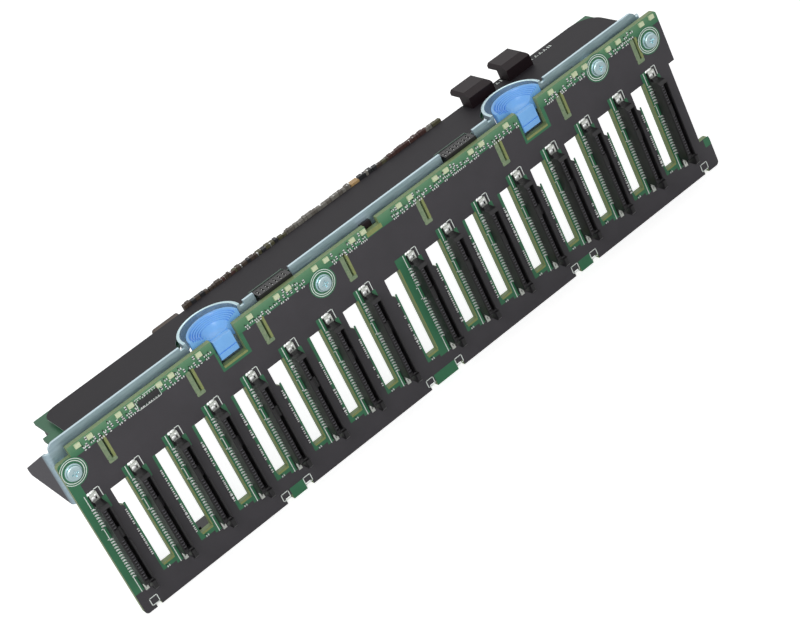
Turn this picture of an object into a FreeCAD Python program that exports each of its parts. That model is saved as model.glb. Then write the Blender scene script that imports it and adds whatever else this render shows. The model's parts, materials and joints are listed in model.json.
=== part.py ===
import FreeCAD, Part
import math
import os

# Drive backplane of a two-unit server: one board carries sixteen drive sockets in a row, a
# steel bracket stiffens its upper half, and a smaller card with a film cover plugs in behind.
#
# Frame: origin on the board's bottom edge, at mid width and mid thickness.
# +X runs along the board, +Y points to the rear (card side), +Z is up. Millimetres.

V = FreeCAD.Vector
X_AXIS = V(1, 0, 0)
Y_AXIS = V(0, 1, 0)
Z_AXIS = V(0, 0, 1)

# ---------------------------------------------------------------- driving dimensions

# Drive lanes: one connector each. A lane starts at the printed line left of its connector.
lane_count = 16
lanes_left_of_gap = 8
lane_pitch = 18.0
middle_gap = 4.9
left_margin = 2.85
right_margin = 16.0

# Board
board_height = 74.3
board_thickness = 2.4
board_corner_radius = 1.6
board_shoulder_radius = 1.5
board_right_step = 3.1
board_right_step_height = 51.3
board_foot_reach = 1.9
board_foot_height = 13.8
board_foot_inset = 3.0
board_left_step_width = 6.6
board_left_step_drop = 3.6
middle_shift = 6.8
middle_foot_width = 10.6
side_foot_width = 6.4
left_foot_lane = 5
left_foot_shift = 1.85
right_foot_lane = 13
right_foot_shift = 2.3
foot_notch_depth = 2.3
foot_notch_width = 3.1
corner_notch_width = 2.2
corner_notch_depth = 1.4
corner_notch_inset = 5.0
key_notch_width = 6.0
key_notch_depth = 2.7
key_notch_shift = -0.7
cut_over = 1.0

# Contacts of one drive connector
signal_count = 7
power_count = 15
contact_pitch = 1.27
first_signal_height = 48.4
power_drop = 6.39
foot_length = 1.05
foot_width = 0.55
foot_thickness = 0.3

# Housing of one drive connector
housing_offset = 1.2
housing_width = 3.95
housing_depth = 6.8
housing_end_wall = 1.5
slot_clearance = 0.3
slot_lower_room = 0.9
slot_offset = 2.0
slot_width = 1.35
slot_depth = 5.2
trench_width = 1.55
trench_depth = 1.1
lead_in = 1.1
ear_length = 3.8
ear_thickness = 1.2
guide_post_width = 1.85
guide_post_length = 3.0
guide_post_reach = 1.2

# Metal hold-down tabs over the ears
tab_width = 2.0
tab_sheet = 0.35
tab_inset = 0.5

# Air slots between the lanes
headed_slots = (1, 5, 7, 8, 9, 12, 13, 14, 15)
air_slot_offset = 11.7
air_slot_width = 5.0
air_slot_head_width = 7.0
air_slot_head_length = 7.5
air_slot_overlap_top = 0.5
air_slot_overlap_bottom = 0.4

# Indicator slits near the top edge
slit_lanes = (1, 5, 9, 13)
slit_lanes_shifted = (4, 8, 12, 16)
slit_width = 0.8
slit_length = 9.4
slit_bottom_drop = 13.8
slit_offset = 16.4
slit_offset_shifted = 2.1
slit_hole_size = 1.4

# Indicator lights along the top edge, two per lane
light_width = 2.3
light_height = 1.7
light_depth = 0.9
light_offset_first = 6.4
light_offset_second = 11.8
light_edge_gap = 0.45
light_clearance = 0.3

# Steel bracket
sheet = 1.2
bracket_gap = 2.0
bracket_rise = 3.0
bracket_bottom_drop = 22.5
bracket_left_overhang = 0.65
bracket_right_inset = 3.95
bracket_corner_radius = 3.0
bracket_boss_radius = 4.0
wing_reach = 38.3
wing_tip_drop = 19.4
wing_tip_radius = 1.9
bend_radius = 2.4
relief_width = 1.8
relief_depth = 1.45

# Screws: lane, distance right of its line, drop below the board's top edge
screw_spots = ((1, 1.5, 9.0), (7, 8.05, 8.4), (15, 0.35, 5.2), (16, 8.35, 9.1))
screw_radius = 1.5
screw_hole_clearance = 0.2
screw_thread_clearance = 0.02
screw_head_radius = 3.4
screw_head_height = 2.0
screw_recess_span = 3.2
screw_recess_width = 0.8
screw_recess_depth = 1.1
screw_crown = 0.8
screw_overlap = 0.1

# Release latches and their steel hoops: lane, distance right of its line
latch_places = ((5, 0.6), (13, 0.5))
latch_notch_width = 10.7
latch_notch_shift = 0.45
latch_notch_drop = 11.5
latch_pad_radius = 10.9
latch_pad_gap = 0.7
latch_pad_bottom_rise = 0.3
latch_tongue_width = 8.2
latch_tongue_thickness = 1.6
latch_tongue_setback = 0.3
latch_tongue_foot_gap = 2.0
latch_rib_rise = 2.5
latch_rib_groove = 0.55
latch_step_count = 4
latch_step_width = 1.5
latch_step_height = 1.1
latch_neck_drop = 4.5
latch_roof = 0.5
hoop_radius = 11.7
hoop_setback = 0.6
hoop_height = 8.0
shelf_width = 8.0
shelf_length = 8.6
shelf_drop = 5.4
shelf_clearance = 0.3
guide_wall = 1.2
guide_start = 0.5
guide_length = 6.0

# Rear card, its cover film and its sockets: lane, distance right of its line
header_places = ((6, 10.35), (11, 6.1))
card_thickness = 1.6
card_drop = 2.7
card_left_inset = 8.4
card_right_inset = 9.9
card_front_gap = 1.9
card_lip = 3.6
card_tab_width = 3.2
card_tab_depth = 11.2
film_thickness = 0.4
film_lift = 1.6
film_strip = 2.0
film_left_inset = 3.0
film_right_inset = 1.5
film_left_radius = 6.0
film_right_radius = 10.0
cutout_gap = 1.3
film_gap = 0.3
header_width = 15.2
header_window_margin = 0.75
header_window_clearance = 0.1
header_socket_length = 4.8
header_plug_length = 3.4
header_plug_foot = 5.6
header_base_drop = 7.4
header_top_rise = 1.6
header_rib_count = 7
header_rib_pitch = 2.0
header_rib_start = 0.9
header_rib_width = 0.6
header_rib_margin = 0.6
header_rib_depth = 0.5
spacer_radius = 1.6
spacer_inset = 4.0
spacer_shifts = (-126.6, -93.6, -20.0, 30.0, 58.0, 122.8)

# Data ports on the rear card
port_count = 2
port_lane = 12
port_shift = 15.9
port_width = 12.3
port_spacing = 19.65
port_front_inset = 7.2
port_height = 7.8
port_hood_reach = 5.8
port_hood_thickness = 2.2
port_front_slope = 3.9
port_slope_drop = 1.4
port_mouth_depth = 6.5
port_wall = 1.0
port_tongue_thickness = 0.9
port_tongue_length = 5.0
port_tongue_inset = 2.2
port_tongue_root = 0.5
port_floor = 0.8
port_bevel = 0.9
port_face_setback = 0.2

# Loose-standing parts of the card and board
support_width = 7.0
support_length = 20.0
support_root_drop = 6.0
support_tip_drop = 4.5
chip_size = 19.0
chip_base_thickness = 0.65
chip_lid_thickness = 0.65
chip_lid_inset = 2.0

# Row of parts behind the film: distance of each from the board's left edge, then its size
edge_part_gap = 0.3
coil_distances = (77.5, 176.5, 186.5, 196.2)
coil_size = (8.5, 3.2, 3.3)
capacitor_distances = (86.8, 92.2, 97.6, 103.0, 108.4, 113.8, 119.2, 126.5, 131.9, 137.3,
                       142.7, 148.1, 153.5, 163.2, 168.6)
capacitor_size = (4.6, 3.0, 2.6)
tantalum_distances = (158.7,)
tantalum_size = (3.9, 3.0, 2.8)

# Power socket on the rear of the drive board
power_header_width = 22.0
power_header_height = 9.6
power_header_depth = 9.0
power_header_base = 1.9
power_header_shift = 3.0
power_latch_width = 4.0
power_latch_rise = 1.2
power_latch_front = 2.5
power_latch_rear = 1.0
power_pin_rows = 2
power_pin_columns = 5
power_pin_pitch = 4.0
power_cavity = 3.0
power_cavity_depth = 6.0

# ---------------------------------------------------------------- derived places

lane_span = (lane_count - 1) * lane_pitch + middle_gap
board_width = left_margin + lane_span + right_margin
board_left = -board_width / 2
board_right = board_width / 2
board_front = -board_thickness / 2
board_rear = board_thickness / 2
first_lane_x = board_left + left_margin

latch_notch_height = board_height - latch_notch_drop
slit_bottom_height = board_height - slit_bottom_drop
shelf_height = board_height - shelf_drop
card_height = board_height - card_drop
header_base_height = board_height - header_base_drop
header_window_height = header_base_height - header_window_clearance
bracket_bottom_height = board_height - bracket_bottom_drop
wing_tip_height = board_height - wing_tip_drop

last_signal_height = first_signal_height - (signal_count - 1) * contact_pitch
first_power_height = last_signal_height - power_drop
last_power_height = first_power_height - (power_count - 1) * contact_pitch
slot_top = first_signal_height + slot_clearance + foot_width / 2
slot_bottom = last_power_height - slot_clearance - foot_width / 2 - slot_lower_room
housing_top = slot_top + housing_end_wall
housing_bottom = slot_bottom - housing_end_wall
housing_face = board_front - housing_depth

air_slot_top = housing_top + air_slot_overlap_top
air_slot_bottom = housing_bottom - air_slot_overlap_bottom

plate_front = board_rear + bracket_gap
plate_rear = plate_front + sheet
plate_left = board_left - bracket_left_overhang
plate_right = board_right - bracket_right_inset
plate_top = board_height + bracket_rise
bend_left = plate_left + bend_radius
bend_right = plate_right - bend_radius
wing_front_height = plate_top - bracket_corner_radius

latch_pad_front = board_rear + latch_pad_gap
latch_pad_bottom = shelf_height + latch_pad_bottom_rise
hoop_centre_y = plate_rear + hoop_setback

card_front = plate_rear + card_front_gap
card_top = card_height + card_thickness
card_left = board_left + card_left_inset
card_right = board_right - card_right_inset
hoop_reach = hoop_radius + sheet + cutout_gap
port_front = hoop_centre_y + hoop_reach + film_strip + film_gap
film_rear = port_front + port_front_inset
card_rear = film_rear + card_lip
film_bottom = card_top + film_lift
film_top = film_bottom + film_thickness


def lane_x(lane):
    """X of the printed line at the left of a lane, lanes counted from 1."""
    extra = middle_gap if lane > lanes_left_of_gap else 0.0
    return first_lane_x + (lane - 1) * lane_pitch + extra


middle_x = (lane_x(lanes_left_of_gap) + lane_x(lanes_left_of_gap + 1)) / 2 + middle_shift
latch_xs = [lane_x(lane) + shift for lane, shift in latch_places]
header_xs = [lane_x(lane) + shift for lane, shift in header_places]
port_xs = [lane_x(port_lane) + port_shift + index * port_spacing for index in range(port_count)]
screw_places = [(lane_x(lane) + shift, board_height - drop) for lane, shift, drop in screw_spots]
feet = [(lane_x(left_foot_lane) - left_foot_shift, side_foot_width), (middle_x, middle_foot_width),
        (lane_x(right_foot_lane) - right_foot_shift, side_foot_width)]


# ---------------------------------------------------------------- small helpers

def box(x0, x1, y0, y1, z0, z1):
    return Part.makeBox(x1 - x0, y1 - y0, z1 - z0, V(x0, y0, z0))


def rod_y(x, z, radius, y0, y1):
    return Part.makeCylinder(radius, y1 - y0, V(x, y0, z), Y_AXIS)


def rod_z(x, y, radius, z0, z1):
    return Part.makeCylinder(radius, z1 - z0, V(x, y, z0), Z_AXIS)


def prism(points, direction):
    """Solid from a closed outline of points, pushed along a vector."""
    outline = Part.makePolygon(list(points) + [points[0]])
    return Part.Face(outline).extrude(direction)


def prism_y(points, y0, y1):
    """Solid from an outline in X and Z."""
    return prism([V(x, y0, z) for x, z in points], V(0, y1 - y0, 0))


def prism_z(points, z0, z1):
    """Solid from an outline in X and Y."""
    return prism([V(x, y, z0) for x, y in points], V(0, 0, z1 - z0))


def prism_x(points, x0, x1):
    """Solid from an outline in Y and Z."""
    return prism([V(x0, y, z) for y, z in points], V(x1 - x0, 0, 0))


def round_corners(shape, radius, corners, axis):
    """Fillet the straight edges along an axis that pass through the given places."""
    chosen = []
    for edge in shape.Edges:
        ends = [vertex.Point for vertex in edge.Vertexes]
        if len(ends) != 2:
            continue
        run = ends[1] - ends[0]
        if run.Length < 1e-6 or abs(abs(run.normalize().dot(axis)) - 1) > 1e-6:
            continue
        for corner in corners:
            gap = ends[0] - corner
            gap = gap - axis * gap.dot(axis)
            if gap.Length < 1e-4:
                chosen.append(edge)
    return shape.makeFillet(radius, chosen)


def fuse_all(shapes):
    return shapes[0].multiFuse(shapes[1:]).removeSplitter()


def shifted(shape, x):
    moved = shape.copy()
    moved.translate(V(x, 0, 0))
    return moved


def export(node, shapes):
    """Write one node: a single solid, or a group of separate solids."""
    shape = shapes[0] if len(shapes) == 1 else Part.makeCompound(shapes)
    shape.exportStep(os.path.join("parts", node + ".step"))
    print(node, len(shape.Solids), round(shape.Volume, 2))


# ---------------------------------------------------------------- drive board

def air_slot_outline(lane):
    """Outline in X and Z of the air slot right of a lane; some have a wider head."""
    left = lane_x(lane) + air_slot_offset
    if lane == lanes_left_of_gap:
        left += middle_gap / 2
    right = left + air_slot_width
    if lane not in headed_slots:
        return [(left, air_slot_bottom), (right, air_slot_bottom),
                (right, air_slot_top), (left, air_slot_top)]
    head_left = right - air_slot_head_width
    step = air_slot_top - air_slot_head_length
    return [(left, air_slot_bottom), (right, air_slot_bottom), (right, air_slot_top),
            (head_left, air_slot_top), (head_left, step), (left, step - (left - head_left))]


def slit_positions():
    places = [lane_x(lane) + slit_offset for lane in slit_lanes]
    places += [lane_x(lane) + slit_offset_shifted for lane in slit_lanes_shifted]
    return places


def drive_board():
    front, rear = board_front, board_rear
    inner_right = board_right - board_right_step
    foot_right = board_right + board_foot_reach
    step_x = board_left + board_left_step_width
    step_z = board_height - board_left_step_drop
    outline = [
        (board_left, 0), (foot_right, 0), (foot_right, board_foot_height),
        (inner_right, board_foot_height), (inner_right, board_right_step_height),
        (board_right, board_right_step_height), (board_right, board_height),
        (step_x, board_height), (step_x, step_z), (board_left, step_z),
    ]
    board = prism_y(outline, front, rear)
    small = [(board_left, 0), (foot_right, 0), (foot_right, board_foot_height), (board_left, step_z)]
    board = round_corners(board, board_corner_radius, [V(x, front, z) for x, z in small], Y_AXIS)
    large = [V(board_right, front, board_height)]
    board = round_corners(board, board_shoulder_radius, large, Y_AXIS)

    cuts = []
    for lane in range(1, lane_count):
        cuts.append(prism_y(air_slot_outline(lane), front - cut_over, rear + cut_over))
    for x in slit_positions():
        cuts.append(box(x - slit_width / 2, x + slit_width / 2, front - cut_over, rear + cut_over,
                        slit_bottom_height, slit_bottom_height + slit_length))
        hole_top = slit_bottom_height + slit_length + slit_hole_size / 2
        cuts.append(box(x - slit_hole_size / 2, x + slit_hole_size / 2,
                        front - cut_over, rear + cut_over, hole_top - slit_hole_size, hole_top))
    for x in latch_xs:
        notch_left = x + latch_notch_shift - latch_notch_width / 2
        cuts.append(box(notch_left, notch_left + latch_notch_width, front - cut_over, rear + cut_over,
                        latch_notch_height, board_height + cut_over))
    key_left = middle_x + key_notch_shift - key_notch_width / 2
    cuts.append(box(key_left, key_left + key_notch_width, front - cut_over, rear + cut_over,
                    board_height - key_notch_depth, board_height + cut_over))
    for x, width in feet:
        for side in (-1, 1):
            inner = x + side * width / 2
            outer = inner + side * foot_notch_width
            cuts.append(box(min(inner, outer), max(inner, outer), front - cut_over, rear + cut_over,
                            -cut_over, foot_notch_depth))
    for x in (board_left + corner_notch_inset, inner_right - board_foot_inset):
        cuts.append(box(x, x + corner_notch_width, front - cut_over, rear + cut_over,
                        -cut_over, corner_notch_depth))
    for x, z in screw_places:
        cuts.append(rod_y(x, z, screw_radius + screw_hole_clearance, front - cut_over, rear + cut_over))
    return board.cut(Part.makeCompound(cuts)).removeSplitter()


# ---------------------------------------------------------------- drive connectors

def drive_connector():
    """Moulded housing of lane 1: keyed slot, contact trenches, low ears and a guide post."""
    left = first_lane_x + housing_offset
    right = left + housing_width
    body_outline = [
        (board_front, housing_bottom), (board_front, housing_top),
        (housing_face + lead_in, housing_top), (housing_face, housing_top - lead_in),
        (housing_face, housing_bottom + lead_in), (housing_face + lead_in, housing_bottom),
    ]
    body = prism_x(body_outline, left, right)
    ear_face = board_front - ear_thickness
    top_ear = box(left, right, ear_face, board_front, housing_top, housing_top + ear_length)
    bottom_ear = box(left, right, ear_face, board_front, housing_bottom - ear_length, housing_bottom)
    post_outline = [
        (board_front, housing_bottom - guide_post_length), (board_front, housing_bottom + lead_in),
        (housing_face - guide_post_reach, housing_bottom + lead_in),
        (housing_face - guide_post_reach, housing_bottom),
        (housing_face, housing_bottom - guide_post_length),
    ]
    post = prism_x(post_outline, right - guide_post_width, right)
    whole = fuse_all([body, top_ear, bottom_ear, post])

    slot_left = left + slot_offset
    slot = box(slot_left, slot_left + slot_width, housing_face - guide_post_reach - cut_over,
               housing_face + slot_depth, slot_bottom, slot_top)
    cuts = [slot]
    margin = foot_width / 2 + slot_clearance
    rows = ((first_signal_height, last_signal_height), (first_power_height, last_power_height))
    for top, bottom in rows:
        cuts.append(box(slot_left - trench_width, slot_left + slot_width / 2, housing_face - cut_over,
                        housing_face + trench_depth, bottom - margin, top + margin))
    return whole.cut(Part.makeCompound(cuts)).removeSplitter()


def drive_contacts():
    """Solder feet of lane 1, one separate solid each."""
    rows = ((first_signal_height, signal_count), (first_power_height, power_count))
    right = first_lane_x + housing_offset
    solids = []
    for top, count in rows:
        for index in range(count):
            z = top - index * contact_pitch
            solids.append(box(right - foot_length, right, board_front - foot_thickness, board_front,
                              z - foot_width / 2, z + foot_width / 2))
    return solids


def hold_down_tabs():
    """Bent metal tabs of lane 1, one over each ear of the housing."""
    left = first_lane_x + housing_offset
    ear_face = board_front - ear_thickness
    top_end = housing_top + ear_length
    bottom_end = housing_bottom - ear_length
    top_outline = [
        (ear_face, housing_top + tab_inset), (ear_face - tab_sheet, housing_top + tab_inset),
        (ear_face - tab_sheet, top_end + tab_sheet), (board_front, top_end + tab_sheet),
        (board_front, top_end), (ear_face, top_end),
    ]
    bottom_outline = [
        (ear_face, housing_bottom - tab_inset), (ear_face - tab_sheet, housing_bottom - tab_inset),
        (ear_face - tab_sheet, bottom_end - tab_sheet), (board_front, bottom_end - tab_sheet),
        (board_front, bottom_end), (ear_face, bottom_end),
    ]
    top_left = left + (housing_width - tab_width) / 2
    bottom_left = left + (housing_width - guide_post_width - tab_width) / 2
    return [prism_x(top_outline, top_left, top_left + tab_width),
            prism_x(bottom_outline, bottom_left, bottom_left + tab_width)]


def indicator_lights():
    solids = []
    top = board_height - light_edge_gap
    for lane in range(1, lane_count + 1):
        for offset in (light_offset_first, light_offset_second):
            left = lane_x(lane) + offset
            right = left + light_width
            centre = (left + right) / 2
            reach = light_width / 2 + light_clearance
            blocked = any(abs(centre - x - latch_notch_shift) < latch_notch_width / 2 + reach
                          for x in latch_xs)
            ringed = any(abs(centre - x) < screw_head_radius + reach
                         and z + screw_head_radius > top - light_height
                         for x, z in screw_places)
            if blocked or ringed or right > board_right - board_shoulder_radius / 2:
                continue
            solids.append(box(left, right, board_front - light_depth, board_front,
                              top - light_height, top))
    return solids


# ---------------------------------------------------------------- steel bracket

def bracket():
    """One folded and pierced sheet: plate, side wings, latch hoops, shelves and bosses."""
    plate = box(bend_left, bend_right, plate_front, plate_rear, bracket_bottom_height, plate_top)
    top_corners = [V(bend_left, plate_front, plate_top), V(bend_right, plate_front, plate_top)]
    plate = round_corners(plate, bracket_corner_radius, top_corners, Y_AXIS)

    for x in header_xs:
        half = header_width / 2 + header_window_margin
        plate = plate.cut(box(x - half, x + half, plate_front - cut_over, plate_rear + cut_over,
                              header_window_height, plate_top + cut_over))
    for x in latch_xs:
        plate = plate.cut(box(x - hoop_radius, x + hoop_radius, plate_front - cut_over,
                              plate_rear + cut_over, shelf_height, plate_top + cut_over))
        for side in (-1, 1):
            nick_x = x + side * (hoop_radius + sheet + relief_width / 2)
            plate = plate.cut(box(nick_x - relief_width / 2, nick_x + relief_width / 2,
                                  plate_front - cut_over, plate_rear + cut_over,
                                  plate_top - relief_depth, plate_top + cut_over))

    pieces = [plate]
    for x in latch_xs:
        pieces.append(hoop(x))
        pieces.append(box(x - shelf_width / 2, x + shelf_width / 2, plate_front,
                          plate_rear + shelf_length, shelf_height - sheet, shelf_height))
    left_wing = wing()
    pieces.append(left_wing)
    pieces.append(left_wing.mirror(V((plate_left + plate_right) / 2, 0, 0), X_AXIS))
    for x, z in screw_places:
        pieces.append(rod_y(x, z, bracket_boss_radius, board_rear, plate_rear))
    whole = fuse_all(pieces)
    bore_radius = screw_radius + screw_thread_clearance
    bores = [rod_y(x, z, bore_radius, board_rear - cut_over, plate_rear + cut_over)
             for x, z in screw_places]
    return whole.cut(Part.makeCompound(bores)).removeSplitter()


def hoop(x):
    """Strip of the plate bulged to the rear as a half round guard about a latch."""
    bottom = plate_top - hoop_height
    outer = hoop_radius + sheet
    ring = rod_z(x, hoop_centre_y, outer, bottom, plate_top)
    ring = ring.cut(rod_z(x, hoop_centre_y, hoop_radius, bottom - cut_over, plate_top + cut_over))
    rear_half = box(x - outer - cut_over, x + outer + cut_over, hoop_centre_y,
                    hoop_centre_y + outer + cut_over, bottom - cut_over, plate_top + cut_over)
    ring = ring.common(rear_half)
    left_leg = box(x - outer, x - hoop_radius, plate_front, hoop_centre_y, bottom, plate_top)
    right_leg = box(x + hoop_radius, x + outer, plate_front, hoop_centre_y, bottom, plate_top)
    return fuse_all([ring, left_leg, right_leg])


def quarter_bend(radius, centre_x, centre_y):
    """Arc from the plate's direction round to the wing's, about a vertical bend line."""
    slant = radius * math.sqrt(0.5)
    return Part.Arc(V(centre_x, centre_y - radius, bracket_bottom_height),
                    V(centre_x - slant, centre_y - slant, bracket_bottom_height),
                    V(centre_x - radius, centre_y, bracket_bottom_height)).toShape()


def wing():
    """Left side wing, folded to the rear about a bend and tapering to a rounded tip."""
    tip = plate_front + wing_reach
    bend_y = plate_front + bend_radius
    outer = quarter_bend(bend_radius, bend_left, bend_y)
    inner = quarter_bend(bend_radius - sheet, bend_left, bend_y)
    low = bracket_bottom_height
    corners = [V(plate_left, bend_y, low), V(plate_left, tip, low),
               V(plate_left + sheet, tip, low), V(plate_left + sheet, bend_y, low)]
    straights = [Part.makeLine(corners[0], corners[1]), Part.makeLine(corners[1], corners[2]),
                 Part.makeLine(corners[2], corners[3]),
                 Part.makeLine(V(bend_left, plate_rear, low), V(bend_left, plate_front, low))]
    section = Part.Wire(Part.__sortEdges__([outer, inner] + straights))
    folded = Part.Face(section).extrude(V(0, 0, wing_front_height - low))
    outline = [
        (plate_front - cut_over, low), (tip, low), (tip, wing_tip_height),
        (bend_y, wing_front_height), (plate_front - cut_over, wing_front_height),
    ]
    trim = prism_x(outline, plate_left - cut_over, bend_left + cut_over)
    tips = [V(plate_left - cut_over, tip, wing_tip_height), V(plate_left - cut_over, tip, low)]
    trim = round_corners(trim, wing_tip_radius, tips, X_AXIS)
    return folded.common(trim)


def bracket_screws():
    solids = []
    for x, z in screw_places:
        head_face = board_front - screw_head_height
        head = Part.makeCone(screw_head_radius - screw_crown, screw_head_radius,
                             screw_head_height, V(x, head_face, z), Y_AXIS)
        shank = rod_y(x, z, screw_radius, board_front - screw_overlap, plate_rear)
        screw = head.fuse(shank).removeSplitter()
        half = screw_recess_span / 2
        narrow = screw_recess_width / 2
        floor = head_face + screw_recess_depth
        across = box(x - half, x + half, head_face - cut_over, floor, z - narrow, z + narrow)
        upright = box(x - narrow, x + narrow, head_face - cut_over, floor, z - half, z + half)
        solids.append(screw.cut(across.fuse(upright).removeSplitter()))
    return solids


# ---------------------------------------------------------------- release latches

def latch(x):
    """Moulded finger pad with a stepped scoop, a tongue in front and a captive guide below."""
    pad = rod_z(x, latch_pad_front, latch_pad_radius, latch_pad_bottom, plate_top)
    behind = box(x - latch_pad_radius - cut_over, x + latch_pad_radius + cut_over, latch_pad_front,
                 latch_pad_front + latch_pad_radius + cut_over, latch_pad_bottom - cut_over,
                 plate_top + cut_over)
    pad = pad.common(behind)
    for step in range(1, latch_step_count + 1):
        radius = latch_pad_radius - step * latch_step_width
        floor = plate_top - step * latch_step_height
        pad = pad.cut(rod_z(x, latch_pad_front, radius, floor, plate_top + cut_over))

    half = latch_tongue_width / 2
    tongue_front = board_front + latch_tongue_setback
    tongue_bottom = latch_notch_height + latch_tongue_foot_gap
    neck_top = plate_top - latch_neck_drop
    tongue = box(x - half, x + half, tongue_front, tongue_front + latch_tongue_thickness,
                 tongue_bottom, neck_top)
    neck = box(x - half, x + half, tongue_front, latch_pad_front + cut_over, latch_pad_bottom, neck_top)
    groove_z = tongue_bottom + latch_rib_rise
    groove = box(x - half - cut_over, x + half + cut_over, tongue_front - cut_over,
                 tongue_front + latch_rib_groove, groove_z, groove_z + latch_rib_groove)

    tunnel_half = shelf_width / 2 + shelf_clearance
    tunnel_bottom = shelf_height - sheet - shelf_clearance
    guide_front = plate_rear + guide_start
    guide_rear = guide_front + guide_length
    guide = box(x - tunnel_half - guide_wall, x + tunnel_half + guide_wall, guide_front,
                guide_rear, tunnel_bottom - guide_wall, latch_pad_bottom + latch_roof)
    tunnel = box(x - tunnel_half, x + tunnel_half, guide_front - cut_over, guide_rear + cut_over,
                 tunnel_bottom, latch_pad_bottom)
    body = fuse_all([pad, tongue, neck, guide])
    return body.cut(Part.makeCompound([groove, tunnel])).removeSplitter()


# ---------------------------------------------------------------- rear card

def hoop_clearance(x, z0, z1):
    return rod_z(x, hoop_centre_y, hoop_reach, z0, z1)


def rear_card():
    tab_left = card_left - card_tab_width
    tab_rear = card_front + card_tab_depth
    outline = [
        (tab_left, card_front), (card_right, card_front), (card_right, card_rear),
        (card_left, card_rear), (card_left, tab_rear), (tab_left, tab_rear),
    ]
    card = prism_z(outline, card_height, card_top)
    cuts = [hoop_clearance(x, card_height - cut_over, card_top + cut_over) for x in latch_xs]
    for x in header_xs:
        half = header_width / 2 + film_gap
        cuts.append(box(x - half, x + half, card_front - cut_over, header_plug_rear(),
                        card_height - cut_over, card_top + cut_over))
    return card.cut(Part.makeCompound(cuts)).removeSplitter()


def card_film():
    """Thin insulating cover over the card, cut away round the hoops and the ports."""
    left = card_left + film_left_inset
    right = card_right - film_right_inset
    rear = film_rear
    film = box(left, right, card_front, rear, film_bottom, film_top)
    film = round_corners(film, film_left_radius, [V(left, rear, film_bottom)], Z_AXIS)
    film = round_corners(film, film_right_radius, [V(right, rear, film_bottom)], Z_AXIS)
    cuts = [hoop_clearance(x, film_bottom - cut_over, film_top + cut_over) for x in latch_xs]
    for x in header_xs:
        half = header_width / 2 + film_gap
        cuts.append(box(x - half, x + half, card_front - cut_over, header_plug_rear() + film_gap,
                        film_bottom - cut_over, film_top + cut_over))
    for x in port_xs:
        half = port_width / 2 + film_gap
        cuts.append(box(x - half, x + half, port_front - film_gap, rear + cut_over,
                        film_bottom - cut_over, film_top + cut_over))
    return film.cut(Part.makeCompound(cuts)).removeSplitter()


def header_plug_rear():
    return board_rear + header_socket_length + header_plug_length


def header_socket(x):
    """Socket on the rear of the drive board, standing through the bracket's window."""
    half = header_width / 2
    top = board_height + header_top_rise
    rear = board_rear + header_socket_length
    body = box(x - half, x + half, board_rear, rear, header_base_height, top)
    pockets = []
    for index in range(header_rib_count):
        left = x - half + header_rib_start + index * header_rib_pitch
        pockets.append(box(left, left + header_rib_width, board_rear + header_rib_margin,
                           rear - header_rib_margin, top - header_rib_depth, top + cut_over))
    return body.cut(Part.makeCompound(pockets))


def card_plug(x):
    """Right-angle plug below the card's front edge, face to face with its socket."""
    half = header_width / 2
    front = board_rear + header_socket_length
    rear = header_plug_rear()
    outline = [
        (front, header_base_height), (rear + header_plug_foot, header_base_height),
        (rear + header_plug_foot, card_height), (rear, card_height),
        (rear, film_bottom), (front, film_bottom),
    ]
    return prism_x(outline, x - half, x + half)


def data_port(x):
    """Cable port: housing on the card with a hood reaching past the card's rear edge."""
    left = x - port_width / 2
    right = x + port_width / 2
    front = port_front
    face = film_rear - port_face_setback
    hood = face + port_hood_reach
    top = card_top + port_height
    hood_under = top - port_hood_thickness
    outline = [
        (front, card_top), (face, card_top), (face, hood_under), (hood, hood_under),
        (hood, top), (front + port_front_slope, top), (front, top - port_slope_drop),
    ]
    housing = prism_x(outline, left, right)
    bevel = []
    for edge in housing.Edges:
        ends = [vertex.Point for vertex in edge.Vertexes]
        along = abs(ends[0].y - ends[1].y) > port_wall
        if along and all(abs(end.z - top) < 1e-6 for end in ends):
            bevel.append(edge)
    housing = housing.makeChamfer(port_bevel, bevel)
    mouth_floor = card_top + port_floor
    mouth_end = face - port_mouth_depth
    mouth = box(left + port_wall, right - port_wall, mouth_end, face + cut_over, mouth_floor, hood_under)
    tongue_z = (mouth_floor + hood_under - port_tongue_thickness) / 2
    tongue = box(left + port_tongue_inset, right - port_tongue_inset,
                 mouth_end - port_tongue_root, mouth_end + port_tongue_length,
                 tongue_z, tongue_z + port_tongue_thickness)
    return housing.cut(mouth).fuse(tongue).removeSplitter()


def card_supports():
    """Moulded blocks between the bracket plate and the underside of the card's ends."""
    solids = []
    for left in (card_left, card_right - support_width):
        outline = [
            (plate_rear, card_height - support_root_drop),
            (plate_rear + support_length, card_height - support_tip_drop),
            (plate_rear + support_length, card_height), (plate_rear, card_height),
        ]
        solids.append(prism_x(outline, left, left + support_width))
    return solids


def film_spacers():
    """Six-sided posts that hold the film off the card."""
    rear_row = film_rear - spacer_inset
    solids = []
    for shift in spacer_shifts:
        corners = []
        for side in range(6):
            turn = math.radians(60 * side)
            corners.append((middle_x + shift + spacer_radius * math.cos(turn),
                            rear_row + spacer_radius * math.sin(turn)))
        solids.append(prism_z(corners, card_top, film_bottom))
    return solids


def controller_chip():
    left = middle_x - chip_size / 2
    front = (card_front + film_rear - chip_size) / 2
    base_top = card_top + chip_base_thickness
    substrate = box(left, left + chip_size, front, front + chip_size, card_top, base_top)
    lid = box(left + chip_lid_inset, left + chip_size - chip_lid_inset,
              front + chip_lid_inset, front + chip_size - chip_lid_inset,
              base_top, base_top + chip_lid_thickness)
    return [fuse_all([substrate, lid])]


def edge_parts(distances, size):
    """Coils or capacitors in the row just behind the film's rear edge."""
    length, depth, height = size
    front = film_rear + edge_part_gap
    solids = []
    for distance in distances:
        left = board_left + distance
        solids.append(box(left, left + length, front, front + depth, card_top, card_top + height))
    return solids


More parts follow.
